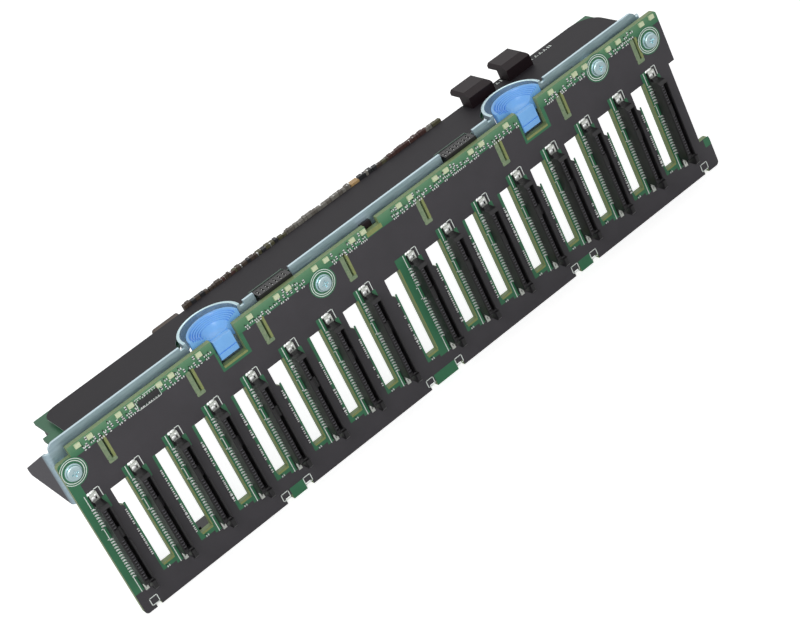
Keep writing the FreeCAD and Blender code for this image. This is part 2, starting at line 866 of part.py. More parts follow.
def power_header():
    """Power socket on the rear of the drive board, below the bracket."""
    centre = (lane_x(2) + lane_x(3)) / 2 + power_header_shift
    left = centre - power_header_width / 2
    top = power_header_base + power_header_height
    rear = board_rear + power_header_depth
    body = box(left, left + power_header_width, board_rear, rear, power_header_base, top)
    latch_ramp = box(centre - power_latch_width / 2, centre + power_latch_width / 2,
                     board_rear + power_latch_front, rear - power_latch_rear,
                     top, top + power_latch_rise)
    body = fuse_all([body, latch_ramp])
    cavities = []
    for row in range(power_pin_rows):
        middle_z = power_header_base + power_header_height / 2
        z = middle_z + (row - (power_pin_rows - 1) / 2) * power_pin_pitch
        for column in range(power_pin_columns):
            x = centre + (column - (power_pin_columns - 1) / 2) * power_pin_pitch
            half = power_cavity / 2
            cavities.append(box(x - half, x + half, rear - power_cavity_depth, rear + cut_over,
                                z - half, z + half))
    return body.cut(Part.makeCompound(cavities))


# ---------------------------------------------------------------- build and write

def main():
    os.makedirs("parts", exist_ok=True)
    export("drive_board", [drive_board()])
    housing = drive_connector()
    contacts = drive_contacts()
    tabs = hold_down_tabs()
    all_tabs = []
    for lane in range(1, lane_count + 1):
        offset = lane_x(lane) - first_lane_x
        number = "%02d" % lane
        export("drive_connector_" + number, [shifted(housing, offset)])
        export("drive_contacts_" + number, [shifted(solid, offset) for solid in contacts])
        all_tabs += [shifted(solid, offset) for solid in tabs]
    export("hold_down_tabs", all_tabs)
    export("indicator_lights", indicator_lights())
    export("mounting_bracket", [bracket()])
    export("bracket_screws", bracket_screws())
    for side, x in zip(("left", "right"), latch_xs):
        export("release_latch_" + side, [latch(x)])
    for side, x in zip(("left", "right"), header_xs):
        export("board_socket_" + side, [header_socket(x)])
        export("card_plug_" + side, [card_plug(x)])
    export("rear_card", [rear_card()])
    export("card_film", [card_film()])
    for side, x in zip(("a", "b"), port_xs):
        export("data_port_" + side, [data_port(x)])
    export("card_supports", card_supports())
    export("film_spacers", film_spacers())
    export("controller_chip", controller_chip())
    export("card_coils", edge_parts(coil_distances, coil_size))
    export("card_capacitors", edge_parts(capacitor_distances, capacitor_size))
    export("card_tantalum", edge_parts(tantalum_distances, tantalum_size))
    export("power_header", [power_header()])


main()
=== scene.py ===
# %% [markdown]
# # Drive backplane board
# A backplane stands upright behind the drives of a server. One printed circuit board carries a
# row of sixteen keyed sockets, a galvanised bracket stiffens its upper half, two blue finger
# latches free it, and a smaller card under a black film takes the cables at the back.
# The engineering model already holds every piece at its true size and place. This notebook
# dresses it: print and solder resist on the board, moulded sockets with their contacts,
# bright tin, galvanised steel, plastic and film. We start with the tools and that model.

# %% Load the engineering model
import json
import math
import random

import bpy
from mathutils import Matrix, Vector

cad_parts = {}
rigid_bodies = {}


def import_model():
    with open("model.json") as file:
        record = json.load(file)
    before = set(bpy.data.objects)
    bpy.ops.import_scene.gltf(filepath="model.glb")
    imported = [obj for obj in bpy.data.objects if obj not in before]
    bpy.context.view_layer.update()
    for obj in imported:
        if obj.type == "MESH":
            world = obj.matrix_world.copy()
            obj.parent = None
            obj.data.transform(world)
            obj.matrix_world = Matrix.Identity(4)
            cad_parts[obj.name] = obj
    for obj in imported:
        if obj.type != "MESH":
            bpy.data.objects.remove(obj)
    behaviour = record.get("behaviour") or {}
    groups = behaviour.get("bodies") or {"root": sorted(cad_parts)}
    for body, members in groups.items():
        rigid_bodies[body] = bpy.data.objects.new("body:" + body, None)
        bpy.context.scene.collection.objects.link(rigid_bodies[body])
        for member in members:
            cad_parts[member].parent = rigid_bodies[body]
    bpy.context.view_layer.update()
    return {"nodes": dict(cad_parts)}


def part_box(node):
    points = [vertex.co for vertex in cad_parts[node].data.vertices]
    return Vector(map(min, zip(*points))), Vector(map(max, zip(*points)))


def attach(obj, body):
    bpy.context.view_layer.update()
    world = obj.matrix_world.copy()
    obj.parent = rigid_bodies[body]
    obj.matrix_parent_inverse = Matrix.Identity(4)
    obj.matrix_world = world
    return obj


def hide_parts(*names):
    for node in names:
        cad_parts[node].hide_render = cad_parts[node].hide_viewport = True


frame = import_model()
nodes = frame["nodes"]
print("nodes in the engineering model:", len(nodes))

# %% [markdown]
# All lengths on this part are easiest to think of in millimetres, while Blender works in metres
# here. One factor turns one into the other. The sockets repeat, so the place of each lane is
# read once from the model: a lane starts at the printed line left of its socket.

# %% Units and the places of the lanes
mm = 0.001
lane_count = 16
lane_line_gap = 1.2 * mm
board_low, board_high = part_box("drive_board")
lane_lines = []
for lane in range(1, lane_count + 1):
    socket_low, socket_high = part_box(f"drive_connector_{lane:02d}")
    lane_lines.append(socket_low.x - lane_line_gap)
lane_pitch = lane_lines[1] - lane_lines[0]
print("lane pitch in mm:", round(lane_pitch / mm, 3))

# %% [markdown]
# Colours are easier to read as the hex values of a paint chart. Shaders want linear light, so
# one function turns a hex value into it. Another small function adds a shader node, sets it up
# and links what goes into it, and every finish below is built from these two.

# %% Helpers for finishes
def linear(hex_colour):
    """A hex colour as linear red, green, blue and alpha."""
    channels = []
    for start in (1, 3, 5):
        value = int(hex_colour[start:start + 2], 16) / 255
        low = value / 12.92
        high = ((value + 0.055) / 1.055) ** 2.4
        channels.append(low if value <= 0.04045 else high)
    return (*channels, 1.0)


def add_node(tree, kind, inputs=None, **settings):
    """Add a node, set its properties, then fill or link its inputs."""
    node = tree.nodes.new(kind)
    for name, value in settings.items():
        setattr(node, name, value)
    for socket, value in (inputs or {}).items():
        if isinstance(value, bpy.types.NodeSocket):
            tree.links.new(value, node.inputs[socket])
        else:
            node.inputs[socket].default_value = value
    return node


def new_finish(name, **values):
    """A material with one Principled shader, its plain sockets set by name."""
    material = bpy.data.materials.new(name)
    material.use_nodes = True
    shader = material.node_tree.nodes["Principled BSDF"]
    for socket, value in values.items():
        shader.inputs[socket].default_value = value
    return material, material.node_tree, shader


print("middle grey in linear light:", round(linear("#808080")[0], 3))

# %% [markdown]
# Moulded plastics, ceramics and laminates share one habit: their colour is never perfectly even
# and their skin is never perfectly smooth. A soft noise mixes two close shades, and a finer one
# lifts the surface a few hundredths of a millimetre.

# %% A finish for dull solid stuff
def mottled_finish(name, light, dark, patch_mm, grain_mm, relief_mm, **values):
    """Two close shades in soft patches with a fine grain in relief."""
    material, tree, shader = new_finish(name, **values)
    place = add_node(tree, "ShaderNodeTexCoord").outputs["Object"]
    patches = add_node(tree, "ShaderNodeTexNoise",
                       {"Vector": place, "Scale": 1 / (patch_mm * mm), "Detail": 2.0})
    colour = add_node(tree, "ShaderNodeMix",
                      {"Factor": patches.outputs["Fac"], "A": linear(dark), "B": linear(light)},
                      data_type="RGBA")
    tree.links.new(colour.outputs["Result"], shader.inputs["Base Color"])
    grain = add_node(tree, "ShaderNodeTexNoise",
                     {"Vector": place, "Scale": 1 / (grain_mm * mm), "Detail": 1.0})
    bump = add_node(tree, "ShaderNodeBump",
                    {"Height": grain.outputs["Fac"], "Strength": 1.0, "Distance": relief_mm * mm})
    tree.links.new(bump.outputs["Normal"], shader.inputs["Normal"])
    return material


print("a mottled finish reads two shades, two scales and a relief, all in millimetres")

# %% [markdown]
# ## The board's own finish
# The drive board is glass-fibre laminate, FR-4, with green solder resist on both faces. Over the
# front a charcoal print covers nearly everything below the row of indicator lights. The cut
# edges stay bare, so the walls of slots and notches show olive laminate. The finish picks
# between them by which way a surface faces and by how high it stands. The resist also runs
# thinner toward the upper edge, so the green grows paler there.

# %% Shades of resist, print and laminate
print_gap = 4.9 * mm
cloud_size = 9 * mm
speck_size = 0.5 * mm
print_top = board_high.z - print_gap
board_material, tree, shader = new_finish("fr4_laminate_with_solder_resist", Roughness=0.5)
coordinates = add_node(tree, "ShaderNodeTexCoord")
place = coordinates.outputs["Object"]
cloud = add_node(tree, "ShaderNodeTexNoise",
                 {"Vector": place, "Scale": 1 / cloud_size, "Detail": 3.0})
speck = add_node(tree, "ShaderNodeTexNoise",
                 {"Vector": place, "Scale": 1 / speck_size, "Detail": 2.0})
shades = {}
for name, noise, dark, light in (("charcoal", cloud, "#343236", "#403d42"),
                                 ("green", cloud, "#2a6746", "#3a7a56"),
                                 ("laminate", speck, "#75875a", "#8fa276")):
    mixed = add_node(tree, "ShaderNodeMix",
                     {"Factor": noise.outputs["Fac"], "A": linear(dark), "B": linear(light)},
                     data_type="RGBA")
    shades[name] = mixed.outputs["Result"]
print("shades of the board:", ", ".join(shades))

# %% Which surface gets which shade
half_turned = 0.5
xyz = add_node(tree, "ShaderNodeSeparateXYZ", {"Vector": place})
facing = add_node(tree, "ShaderNodeSeparateXYZ", {"Vector": coordinates.outputs["Normal"]})
above_print = add_node(tree, "ShaderNodeMath", {0: xyz.outputs["Z"], 1: print_top},
                       operation="GREATER_THAN")
front_face = add_node(tree, "ShaderNodeMath", {0: facing.outputs["Y"], 1: -half_turned},
                      operation="LESS_THAN")
flat_amount = add_node(tree, "ShaderNodeMath", {0: facing.outputs["Y"]}, operation="ABSOLUTE")
on_face = add_node(tree, "ShaderNodeMath", {0: flat_amount.outputs[0], 1: half_turned},
                   operation="GREATER_THAN")
upward = add_node(tree, "ShaderNodeMapRange",
                  {"Value": xyz.outputs["Z"], "From Min": print_top, "From Max": board_high.z})
thin_resist = add_node(tree, "ShaderNodeMix",
                       {"Factor": upward.outputs["Result"], "A": shades["green"],
                        "B": linear("#65936e")}, data_type="RGBA")
front = add_node(tree, "ShaderNodeMix",
                 {"Factor": above_print.outputs[0], "A": shades["charcoal"],
                  "B": thin_resist.outputs["Result"]}, data_type="RGBA")
faces = add_node(tree, "ShaderNodeMix",
                 {"Factor": front_face.outputs[0], "A": shades["green"],
                  "B": front.outputs["Result"]}, data_type="RGBA")
whole = add_node(tree, "ShaderNodeMix",
                 {"Factor": on_face.outputs[0], "A": shades["laminate"],
                  "B": faces.outputs["Result"]}, data_type="RGBA")
tree.links.new(whole.outputs["Result"], shader.inputs["Base Color"])
bump = add_node(tree, "ShaderNodeBump", {"Height": speck.outputs["Fac"], "Distance": 0.01 * mm})
tree.links.new(bump.outputs["Normal"], shader.inputs["Normal"])
finishes = {"board": board_material}
print("the charcoal print ends at z =", round(print_top / mm, 2), "mm")

# %% [markdown]
# ## Finishes of the other pieces
# Sockets, ports and headers are glass-filled nylon and liquid-crystal polymer: black, slightly
# brown, with a dry sheen. The latch is glossy coloured ABS, the film a matt plastic sheet. The
# small parts on the card are ferrite, fired ceramic and moulded epoxy in dull earth colours.
# One table holds them all, since only shades, scales and roughness differ.

# %% Plastics and ceramics
# Each row: name, light shade, dark shade, then patch, grain and relief in mm, and roughness.
dull_finishes = {
    "socket": ("glass_filled_black_lcp", "#1e1c1e", "#111012", 1.5, 0.25, 0.006, 0.38),
    "port": ("moulded_black_nylon", "#211519", "#160f12", 3.0, 0.3, 0.006, 0.45),
    "latch": ("moulded_blue_abs", "#86c4fd", "#76b4f8", 4.0, 0.4, 0.003, 0.32),
    "film": ("matte_black_polycarbonate_film", "#272428", "#201e22", 14.0, 0.35, 0.004, 0.55),
    "card": ("card_solder_resist", "#35714f", "#285a3e", 8.0, 0.4, 0.006, 0.5),
    "ceramic": ("fired_ceramic_capacitor", "#7a746c", "#55504a", 2.2, 0.3, 0.006, 0.6),
    "ferrite": ("ferrite_coil_body", "#4a423a", "#332e2a", 2.0, 0.3, 0.01, 0.65),
    "tantalum": ("moulded_tantalum_capacitor", "#c9a878", "#b08d5c", 2.0, 0.3, 0.006, 0.5),
    "chip": ("epoxy_chip_package", "#2c2c2e", "#212123", 2.0, 0.25, 0.006, 0.5),
    "light": ("pale_indicator_lens", "#e4ecca", "#c6d3a6", 1.0, 0.3, 0.004, 0.25),
    "ink": ("white_screen_ink", "#f6fbf7", "#dfeae3", 0.7, 0.2, 0.004, 0.7),
    "resist": ("green_solder_resist", "#3a7a56", "#2a6746", 7.0, 0.4, 0.006, 0.45),
    "bare": ("bare_olive_laminate", "#98a066", "#7b8650", 1.2, 0.3, 0.008, 0.65),
    "worn": ("worn_grey_green_laminate", "#98a583", "#5c7a5a", 0.8, 0.3, 0.008, 0.65),
    "brown_part": ("brown_moulded_part", "#4f4238", "#3a3029", 0.8, 0.3, 0.006, 0.55),
    "red_part": ("red_brown_moulded_part", "#51352f", "#3a2624", 0.8, 0.3, 0.006, 0.55),
    "grey_part": ("grey_ferrite_part", "#8d8981", "#6c6963", 0.8, 0.3, 0.006, 0.55),
    "olive_part": ("olive_moulded_part", "#5d5a43", "#45432f", 0.8, 0.3, 0.006, 0.55),
}
for key, (*look, roughness) in dull_finishes.items():
    finishes[key] = mottled_finish(*look, Roughness=roughness)
low_gloss = 0.2
for key in ("film", "port"):
    shader = finishes[key].node_tree.nodes["Principled BSDF"]
    shader.inputs["Specular IOR Level"].default_value = low_gloss
print("dull finishes:", len(dull_finishes))

# %% [markdown]
# Metals differ from plastics in two ways: the colour tints the reflection itself, and rolling or
# plating leaves faint streaks along one direction. So one noise, stretched along X, drives both
# the shade and the roughness.

# %% Metals
rough_drift = 0.08


def metal_finish(name, light, dark, streak_mm, relief_mm, roughness):
    """A metal whose colour and roughness drift a little along brushed streaks."""
    material, tree, shader = new_finish(name, Metallic=1.0)
    place = add_node(tree, "ShaderNodeTexCoord").outputs["Object"]
    stretched = add_node(tree, "ShaderNodeMapping", {"Vector": place, "Scale": (0.12, 1.0, 1.0)})
    streaks = add_node(tree, "ShaderNodeTexNoise",
                       {"Vector": stretched.outputs["Vector"], "Scale": 1 / (streak_mm * mm),
                        "Detail": 4.0})
    colour = add_node(tree, "ShaderNodeMix",
                      {"Factor": streaks.outputs["Fac"], "A": linear(dark), "B": linear(light)},
                      data_type="RGBA")
    tree.links.new(colour.outputs["Result"], shader.inputs["Base Color"])
    rough = add_node(tree, "ShaderNodeMapRange",
                     {"Value": streaks.outputs["Fac"], "To Min": roughness - rough_drift,
                      "To Max": roughness + rough_drift})
    tree.links.new(rough.outputs["Result"], shader.inputs["Roughness"])
    bump = add_node(tree, "ShaderNodeBump",
                    {"Height": streaks.outputs["Fac"], "Distance": relief_mm * mm})
    tree.links.new(bump.outputs["Normal"], shader.inputs["Normal"])
    return material


# Each row: name, light shade, dark shade, then streak and relief in mm, and roughness.
metals = {
    "steel": ("galvanised_sheet_steel", "#c6d9e1", "#96adba", 0.7, 0.02, 0.55),
    "zinc": ("blue_passivated_zinc", "#cfe6ea", "#b4d0d6", 0.6, 0.008, 0.3),
    "tin": ("tinned_contact", "#eef1ea", "#d5d9d2", 0.4, 0.006, 0.35),
    "solder": ("reflowed_solder", "#ffffff", "#dfe3e0", 0.5, 0.02, 0.4),
    # The contact springs are the same tin darkened: painted shade for contacts deep inside the
    # comb.
    "blade": ("worn_contact_spring", "#77757a", "#5c5a60", 0.4, 0.006, 0.4),
}
for key, look in metals.items():
    finishes[key] = metal_finish(*look)
print("metals:", ", ".join(metals))

# %% [markdown]
# The bracket's upward-facing surfaces, its cut top edges and hoop rims among them, are bright steel
# with a painted highlight over it, and the wings at its ends are darkened with painted shade. Both
# are one finish whose colour is picked by which way the sheet faces and how far back it lies.

# %% Painted highlight on upward faces and painted shade on the bracket's wings
wing_start = 137
plate_back = 4.2
wing_bend_end = 7.0
tree = finishes["steel"].node_tree
shader = tree.nodes["Principled BSDF"]
sheet_colour = shader.inputs["Base Color"].links[0].from_socket
coordinates = add_node(tree, "ShaderNodeTexCoord")
xyz = add_node(tree, "ShaderNodeSeparateXYZ", {"Vector": coordinates.outputs["Object"]})
facing = add_node(tree, "ShaderNodeSeparateXYZ", {"Vector": coordinates.outputs["Normal"]})
# Upward-facing faces get a painted highlight over the bright steel of their cut edges.
painted_top_highlight = add_node(tree, "ShaderNodeMapRange",
                    {"Value": facing.outputs["Z"], "From Min": 0.4, "From Max": 0.8})
# Painted shade darkens the wings at the ends, fading in from behind the plate to the bend.
sideways = add_node(tree, "ShaderNodeMath", {0: xyz.outputs["X"]}, operation="ABSOLUTE")
at_end = add_node(tree, "ShaderNodeMath", {0: sideways.outputs[0], 1: wing_start * mm},
                  operation="GREATER_THAN")
behind = add_node(tree, "ShaderNodeMapRange",
                  {"Value": xyz.outputs["Y"], "From Min": plate_back * mm,
                   "From Max": wing_bend_end * mm})
painted_wing_shade = add_node(tree, "ShaderNodeMath", {0: at_end.outputs[0], 1: behind.outputs["Result"]},
                   operation="MULTIPLY")
with_painted_highlight = add_node(tree, "ShaderNodeMix",
                     {"Factor": painted_top_highlight.outputs["Result"], "A": sheet_colour,
                      "B": linear("#bfd1d7")}, data_type="RGBA")
with_painted_wing_shade = add_node(tree, "ShaderNodeMix",
                     {"Factor": painted_wing_shade.outputs[0], "A": with_painted_highlight.outputs["Result"],
                      "B": linear("#4d4b51")}, data_type="RGBA")
tree.links.new(with_painted_wing_shade.outputs["Result"], shader.inputs["Base Color"])
print("wings lie more than", wing_start, "mm from the middle")

# %% [markdown]
# The film's edges, where its surface turns away from level, are given a pale colour, so a thin
# light line runs round it.

# %% Pale cut edge of the film
tree = finishes["film"].node_tree
shader = tree.nodes["Principled BSDF"]
film_colour = shader.inputs["Base Color"].links[0].from_socket
normal = add_node(tree, "ShaderNodeTexCoord").outputs["Normal"]
facing = add_node(tree, "ShaderNodeSeparateXYZ", {"Vector": normal})
flat_amount = add_node(tree, "ShaderNodeMath", {0: facing.outputs["Z"]}, operation="ABSOLUTE")
on_edge = add_node(tree, "ShaderNodeMath", {0: flat_amount.outputs[0], 1: half_turned},
                   operation="LESS_THAN")
film_mix = add_node(tree, "ShaderNodeMix", {"Factor": on_edge.outputs[0], "A": film_colour,
                                            "B": linear("#8ea096")}, data_type="RGBA")
tree.links.new(film_mix.outputs["Result"], shader.inputs["Base Color"])
print("the film's edge is pale where its surface turns away from level")

# %% [markdown]
# The pieces that come with the engineering model get their finish now. Most are looked up by
# name, and those that come in numbers by the first words of their name.

# %% Dress the carried-over pieces
node_finish = {
    "drive_board": "board", "hold_down_tabs": "tin", "indicator_lights": "light",
    "mounting_bracket": "steel", "bracket_screws": "zinc", "rear_card": "card",
    "card_film": "film", "card_supports": "port", "film_spacers": "port",
    "controller_chip": "chip", "card_coils": "ferrite", "card_capacitors": "ceramic",
    "card_tantalum": "tantalum", "power_header": "socket",
}
prefix_finish = {
    "drive_connector": "socket", "drive_contacts": "tin", "release_latch": "latch",
    "board_socket": "socket", "card_plug": "socket", "data_port": "port",
}
for name, node in nodes.items():
    chosen = node_finish.get(name)
    for prefix, finish in prefix_finish.items():
        if name.startswith(prefix):
            chosen = finish
    node.data.materials.clear()
    node.data.materials.append(finishes[chosen])
print("dressed nodes:", len(nodes))

# %% [markdown]
# ## Building new pieces
# The pieces that follow are modelled the way a bench hand would make them. A block is cut to
# size, then cut away, bevelled and finished. Helpers keep each of those steps to one line. All of
# them take millimetres, and they leave the place of a piece in its mesh, since the finishes above
# read places from there. The last one names a piece and says which body it rides on.

# %% Blocks and rods
board_face = board_low.y / mm


def settle(piece):
    """Put a piece's place, turn and scale into its mesh."""
    bpy.ops.object.select_all(action="DESELECT")
    piece.select_set(True)
    bpy.context.view_layer.objects.active = piece
    bpy.ops.object.transform_apply()
    return piece


def block(x_span, y_span, z_span):
    """A cuboid between three pairs of planes."""
    spans = (x_span, y_span, z_span)
    middle = [(low + high) / 2 * mm for low, high in spans]
    size = [high - low for low, high in spans]
    bpy.ops.mesh.primitive_cube_add(size=mm, location=middle, scale=size)
    return bpy.context.object


def rod(middle, radius, length, sides):
    """A round bar about its middle, from front to back."""
    place = [value * mm for value in middle]
    bpy.ops.mesh.primitive_cylinder_add(vertices=sides, radius=radius * mm, depth=length * mm,
                                        location=place, rotation=(math.pi / 2, 0, 0))
    return settle(bpy.context.object)


print("front face of the board at y =", round(board_face, 3), "mm")


# %% Join, cut and weld
def joined(pieces):
    """Several pieces as one object."""
    bpy.ops.object.select_all(action="DESELECT")
    for piece in pieces:
        piece.select_set(True)
    bpy.context.view_layer.objects.active = pieces[0]
    if len(pieces) > 1:
        bpy.ops.object.join()
    return bpy.context.object


def applied(piece, kind, **settings):
    """Add a modifier and apply it at once."""
    bpy.ops.object.select_all(action="DESELECT")
    piece.select_set(True)
    bpy.context.view_layer.objects.active = piece
    modifier = piece.modifiers.new(kind.lower(), kind)
    for name, value in settings.items():
        setattr(modifier, name, value)
    bpy.ops.object.modifier_apply(modifier=modifier.name)
    return piece


def carve(piece, cutter):
    """Cut one piece out of another and throw the cutter away."""
    applied(piece, "BOOLEAN", operation="DIFFERENCE", solver="EXACT", object=cutter)
    bpy.data.objects.remove(cutter)
    return piece


def fused(piece, extra):
    """Weld one piece onto another, as one moulding or sheet."""
    applied(piece, "BOOLEAN", operation="UNION", solver="EXACT", object=extra)
    bpy.data.objects.remove(extra)
    return piece


# %% Bevels
smooth_below = math.radians(35)


def bevel_where(piece, width, segments, test):
    """Bevel the edges whose two ends both pass a test on their place in millimetres."""
    settle(piece)
    bpy.ops.object.mode_set(mode="EDIT")
    bpy.ops.mesh.select_mode(type="EDGE")
    bpy.ops.mesh.select_all(action="DESELECT")
    bpy.ops.object.mode_set(mode="OBJECT")
    for edge in piece.data.edges:
        ends = [piece.data.vertices[index].co / mm for index in edge.vertices]
        edge.select = test(*ends)
    bpy.ops.object.mode_set(mode="EDIT")
    bpy.ops.mesh.bevel(offset=width * mm, segments=segments)
    bpy.ops.object.mode_set(mode="OBJECT")
    return piece


def broken_edges(piece, width, segments=1, angle=40):
    """Take the sharpness off every edge, as moulds and files do, and shade it smooth."""
    applied(piece, "BEVEL", width=width * mm, segments=segments, limit_method="ANGLE",
            angle_limit=math.radians(angle), use_clamp_overlap=True)
    bpy.ops.object.shade_smooth_by_angle(angle=smooth_below)
    return piece


# %% Copies, and the frame's facts about a finished piece
def copied(piece, shift, rise=0.0, turned=False):
    """A copy with its own mesh, first turned on its side if asked, moved along X and up."""
    twin = piece.copy()
    twin.data = piece.data.copy()
    bpy.context.scene.collection.objects.link(twin)
    if turned:
        twin.data.transform(Matrix.Rotation(math.pi / 2, 4, "Y"))
    twin.data.transform(Matrix.Translation(Vector((shift, 0, rise)) * mm))
    return twin


def hand_over(piece, name, finish, body, slot, *stands_for):
    """Name a finished piece, give it its finish and tell the frame what it belongs to."""
    settle(piece)
    piece.name = name
    piece.data.materials.clear()
    piece.data.materials.append(finishes[finish])
    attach(piece, body)
    if stands_for:
        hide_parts(*stands_for)


print("finishes ready to hand over:", len(finishes))

# %% [markdown]
# ## Drive sockets
# A drive socket of this kind is one moulding of black liquid-crystal polymer. A deep slot takes
# the tongue of the drive, and a comb beside it keeps the twenty-two contacts apart. An ear at
# either end holds a metal tab, a brow slopes over the upper ear, and a post at the lower end
# guides the plug in. The first socket is modelled once and copied to each lane. A block is cut to
# size and its slot and comb are cut out with boxes, since the real tool forms them with straight
# steel cores.

# %% Sizes of one socket
socket_low, socket_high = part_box("drive_connector_01")
feet_low, feet_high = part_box("drive_contacts_01")
contact_pitch = 1.27
foot_width = 0.62
signal_count = 7
power_count = 15
top_contact = feet_high.z / mm - foot_width / 2
bottom_contact = feet_low.z / mm + foot_width / 2
signal_heights = [top_contact - index * contact_pitch for index in range(signal_count)]
power_heights = [bottom_contact + index * contact_pitch for index in range(power_count)]
contact_heights = signal_heights + power_heights
wall_left = socket_low.x / mm
wall_right = socket_high.x / mm
post_face = socket_low.y / mm
post_lead = 1.2
socket_face = post_face + post_lead
ear_bottom = socket_low.z / mm
ear_top = socket_high.z / mm
ear_length = 3.8
ear_face = board_face - 1.2
body_bottom = ear_bottom + ear_length
body_top = ear_top - ear_length
print("socket body from", round(body_bottom, 2), "to", round(body_top, 2), "mm high")

# %% Which edges to bevel
touch = 0.1


def in_face(face, *ends):
    """Whether the ends of an edge lie in a front face at this depth."""
    return all(end.y < face + touch for end in ends)


def level(a, b):
    """Whether an edge stays at one height."""
    return abs(a.z - b.z) < touch


def along_y(a, b):
    """Whether an edge runs from front to back."""
    return level(a, b) and abs(a.x - b.x) < touch


print("places within", touch, "mm count as the same when edges are picked")

# %% Body and ears of the first socket
long_edge = 5
housing = block((wall_left, wall_right), (socket_face, board_face), (body_bottom, body_top))
bevel_where(housing, 1.1, 1, lambda a, b: in_face(socket_face, a, b) and level(a, b))
bevel_where(housing, 0.22, 2, lambda a, b: in_face(socket_face, a, b)
            and abs(a.z - b.z) > long_edge)
top_ear = block((wall_left, wall_right), (ear_face, board_face), (body_top - 0.5, ear_top))
bottom_ear = block((wall_left, wall_right), (ear_face, board_face),
                   (ear_bottom, body_bottom + 0.5))
for ear in (top_ear, bottom_ear):
    bevel_where(ear, 0.5, 3, lambda a, b: along_y(a, b)
                and (a.z > ear_top - touch or a.z < ear_bottom + touch))
print("body:", len(housing.data.polygons), "faces")

# %% Brow and guide post
brow_face = board_face - 3.4
brow_top = body_top + 0.9
brow = block((wall_left + 0.7, wall_right - 0.9), (brow_face, board_face), (body_top - 1, brow_top))
bevel_where(brow, 1.5, 1, lambda a, b: in_face(brow_face, a, b)
            and min(a.z, b.z) > brow_top - touch)
post_bottom = body_bottom - 3
post_width = 1.85
post = block((wall_right - post_width, wall_right), (post_face, board_face),
             (post_bottom, body_bottom + 1.1))
bevel_where(post, 1.15, 1, lambda a, b: in_face(post_face, a, b)
            and max(a.z, b.z) < post_bottom + touch)
bevel_where(post, 0.45, 2, lambda a, b: in_face(post_face, a, b) and abs(a.z - b.z) > 1)
for extra in (top_ear, bottom_ear, brow, post):
    fused(housing, extra)
print("housing before its slot:", len(housing.data.polygons), "faces")

# %% Slot of the first socket
tongue_room = 1.35
end_wall = 1.5
slot_depth = 5.2
open_front = post_face - 1
slot_left = wall_left + 2.0
slot_right = slot_left + tongue_room
slot_bottom = body_bottom + end_wall
slot_top = body_top - end_wall
carve(housing, block((slot_left, slot_right), (open_front, socket_face + slot_depth),
                     (slot_bottom, slot_top)))
mouth = block((slot_left - 0.25, slot_right + 0.22), (open_front, socket_face + 0.45),
              (slot_bottom - 0.3, slot_top + 0.3))
bevel_where(mouth, 0.42, 1, lambda a, b: a.y > socket_face and b.y > socket_face)
carve(housing, mouth)
print("housing with its slot:", len(housing.data.polygons), "faces")

# %% Comb and key of the first socket
cell_half = 0.4
comb_margin = 0.65
for heights in (signal_heights, power_heights):
    low = min(heights)
    high = max(heights)
    carve(housing, block((slot_left - 1.5, slot_left + 0.3), (open_front, socket_face + 0.3),
                         (low - comb_margin, high + comb_margin)))
    cell = block((slot_left - 1.35, slot_left + 0.3), (open_front, socket_face + 1.3),
                 (low - cell_half, low + cell_half))
    applied(cell, "ARRAY", count=len(heights), use_relative_offset=False, use_constant_offset=True,
            constant_offset_displace=(0, 0, contact_pitch * mm))
    carve(housing, cell)
key_margin = 0.9
key_low = max(power_heights) + key_margin
key_high = min(signal_heights) - key_margin
key = block((slot_left - 0.35, slot_right + 0.1), (socket_face + 1.4, socket_face + 5),
            (key_low, key_high))
fused(housing, key)
grip = block((wall_right - 0.35, wall_right + 1), (open_front, socket_face + 1.6),
             (key_low - 1.5, key_high + 1.5))
carve(housing, grip)
broken_edges(housing, 0.05)
print("housing:", len(housing.data.polygons), "faces")

# %% [markdown]
# Each contact is a narrow strip of tinned copper alloy. Its foot lies on the board, it passes
# under the housing, and its free end shows in the comb, bowed into the slot. A strip is drawn
# as a profile that is extruded point by point and then given its thickness.

# %% Contacts of the first socket
def strip_along(points, low, high, thickness):
    """A bent strip of metal along a run of points in X and Y, between two heights."""
    first = Vector((points[0][0], points[0][1], low)) * mm
    bpy.ops.mesh.primitive_plane_add(size=mm)
    strip = bpy.context.object
    corners = strip.data.vertices
    second = Vector((points[1][0], points[1][1], low)) * mm
    rise = Vector((0, 0, high - low)) * mm
    places = {0: first, 1: second, 2: first + rise, 3: second + rise}
    for index, place in places.items():
        corners[index].co = place
    bpy.ops.object.mode_set(mode="EDIT")
    bpy.ops.mesh.select_mode(type="EDGE")
    bpy.ops.mesh.select_all(action="DESELECT")
    bpy.ops.object.mode_set(mode="OBJECT")
    for edge in strip.data.edges:
        edge.select = set(edge.vertices) == {1, 3}
    bpy.ops.object.mode_set(mode="EDIT")
    for before, after in zip(points[1:], points[2:]):
        step = ((after[0] - before[0]) * mm, (after[1] - before[1]) * mm, 0)
        bpy.ops.mesh.extrude_region_move(TRANSFORM_OT_translate={"value": step})
    bpy.ops.object.mode_set(mode="OBJECT")
    applied(strip, "SOLIDIFY", thickness=thickness * mm, offset=0)
    return strip


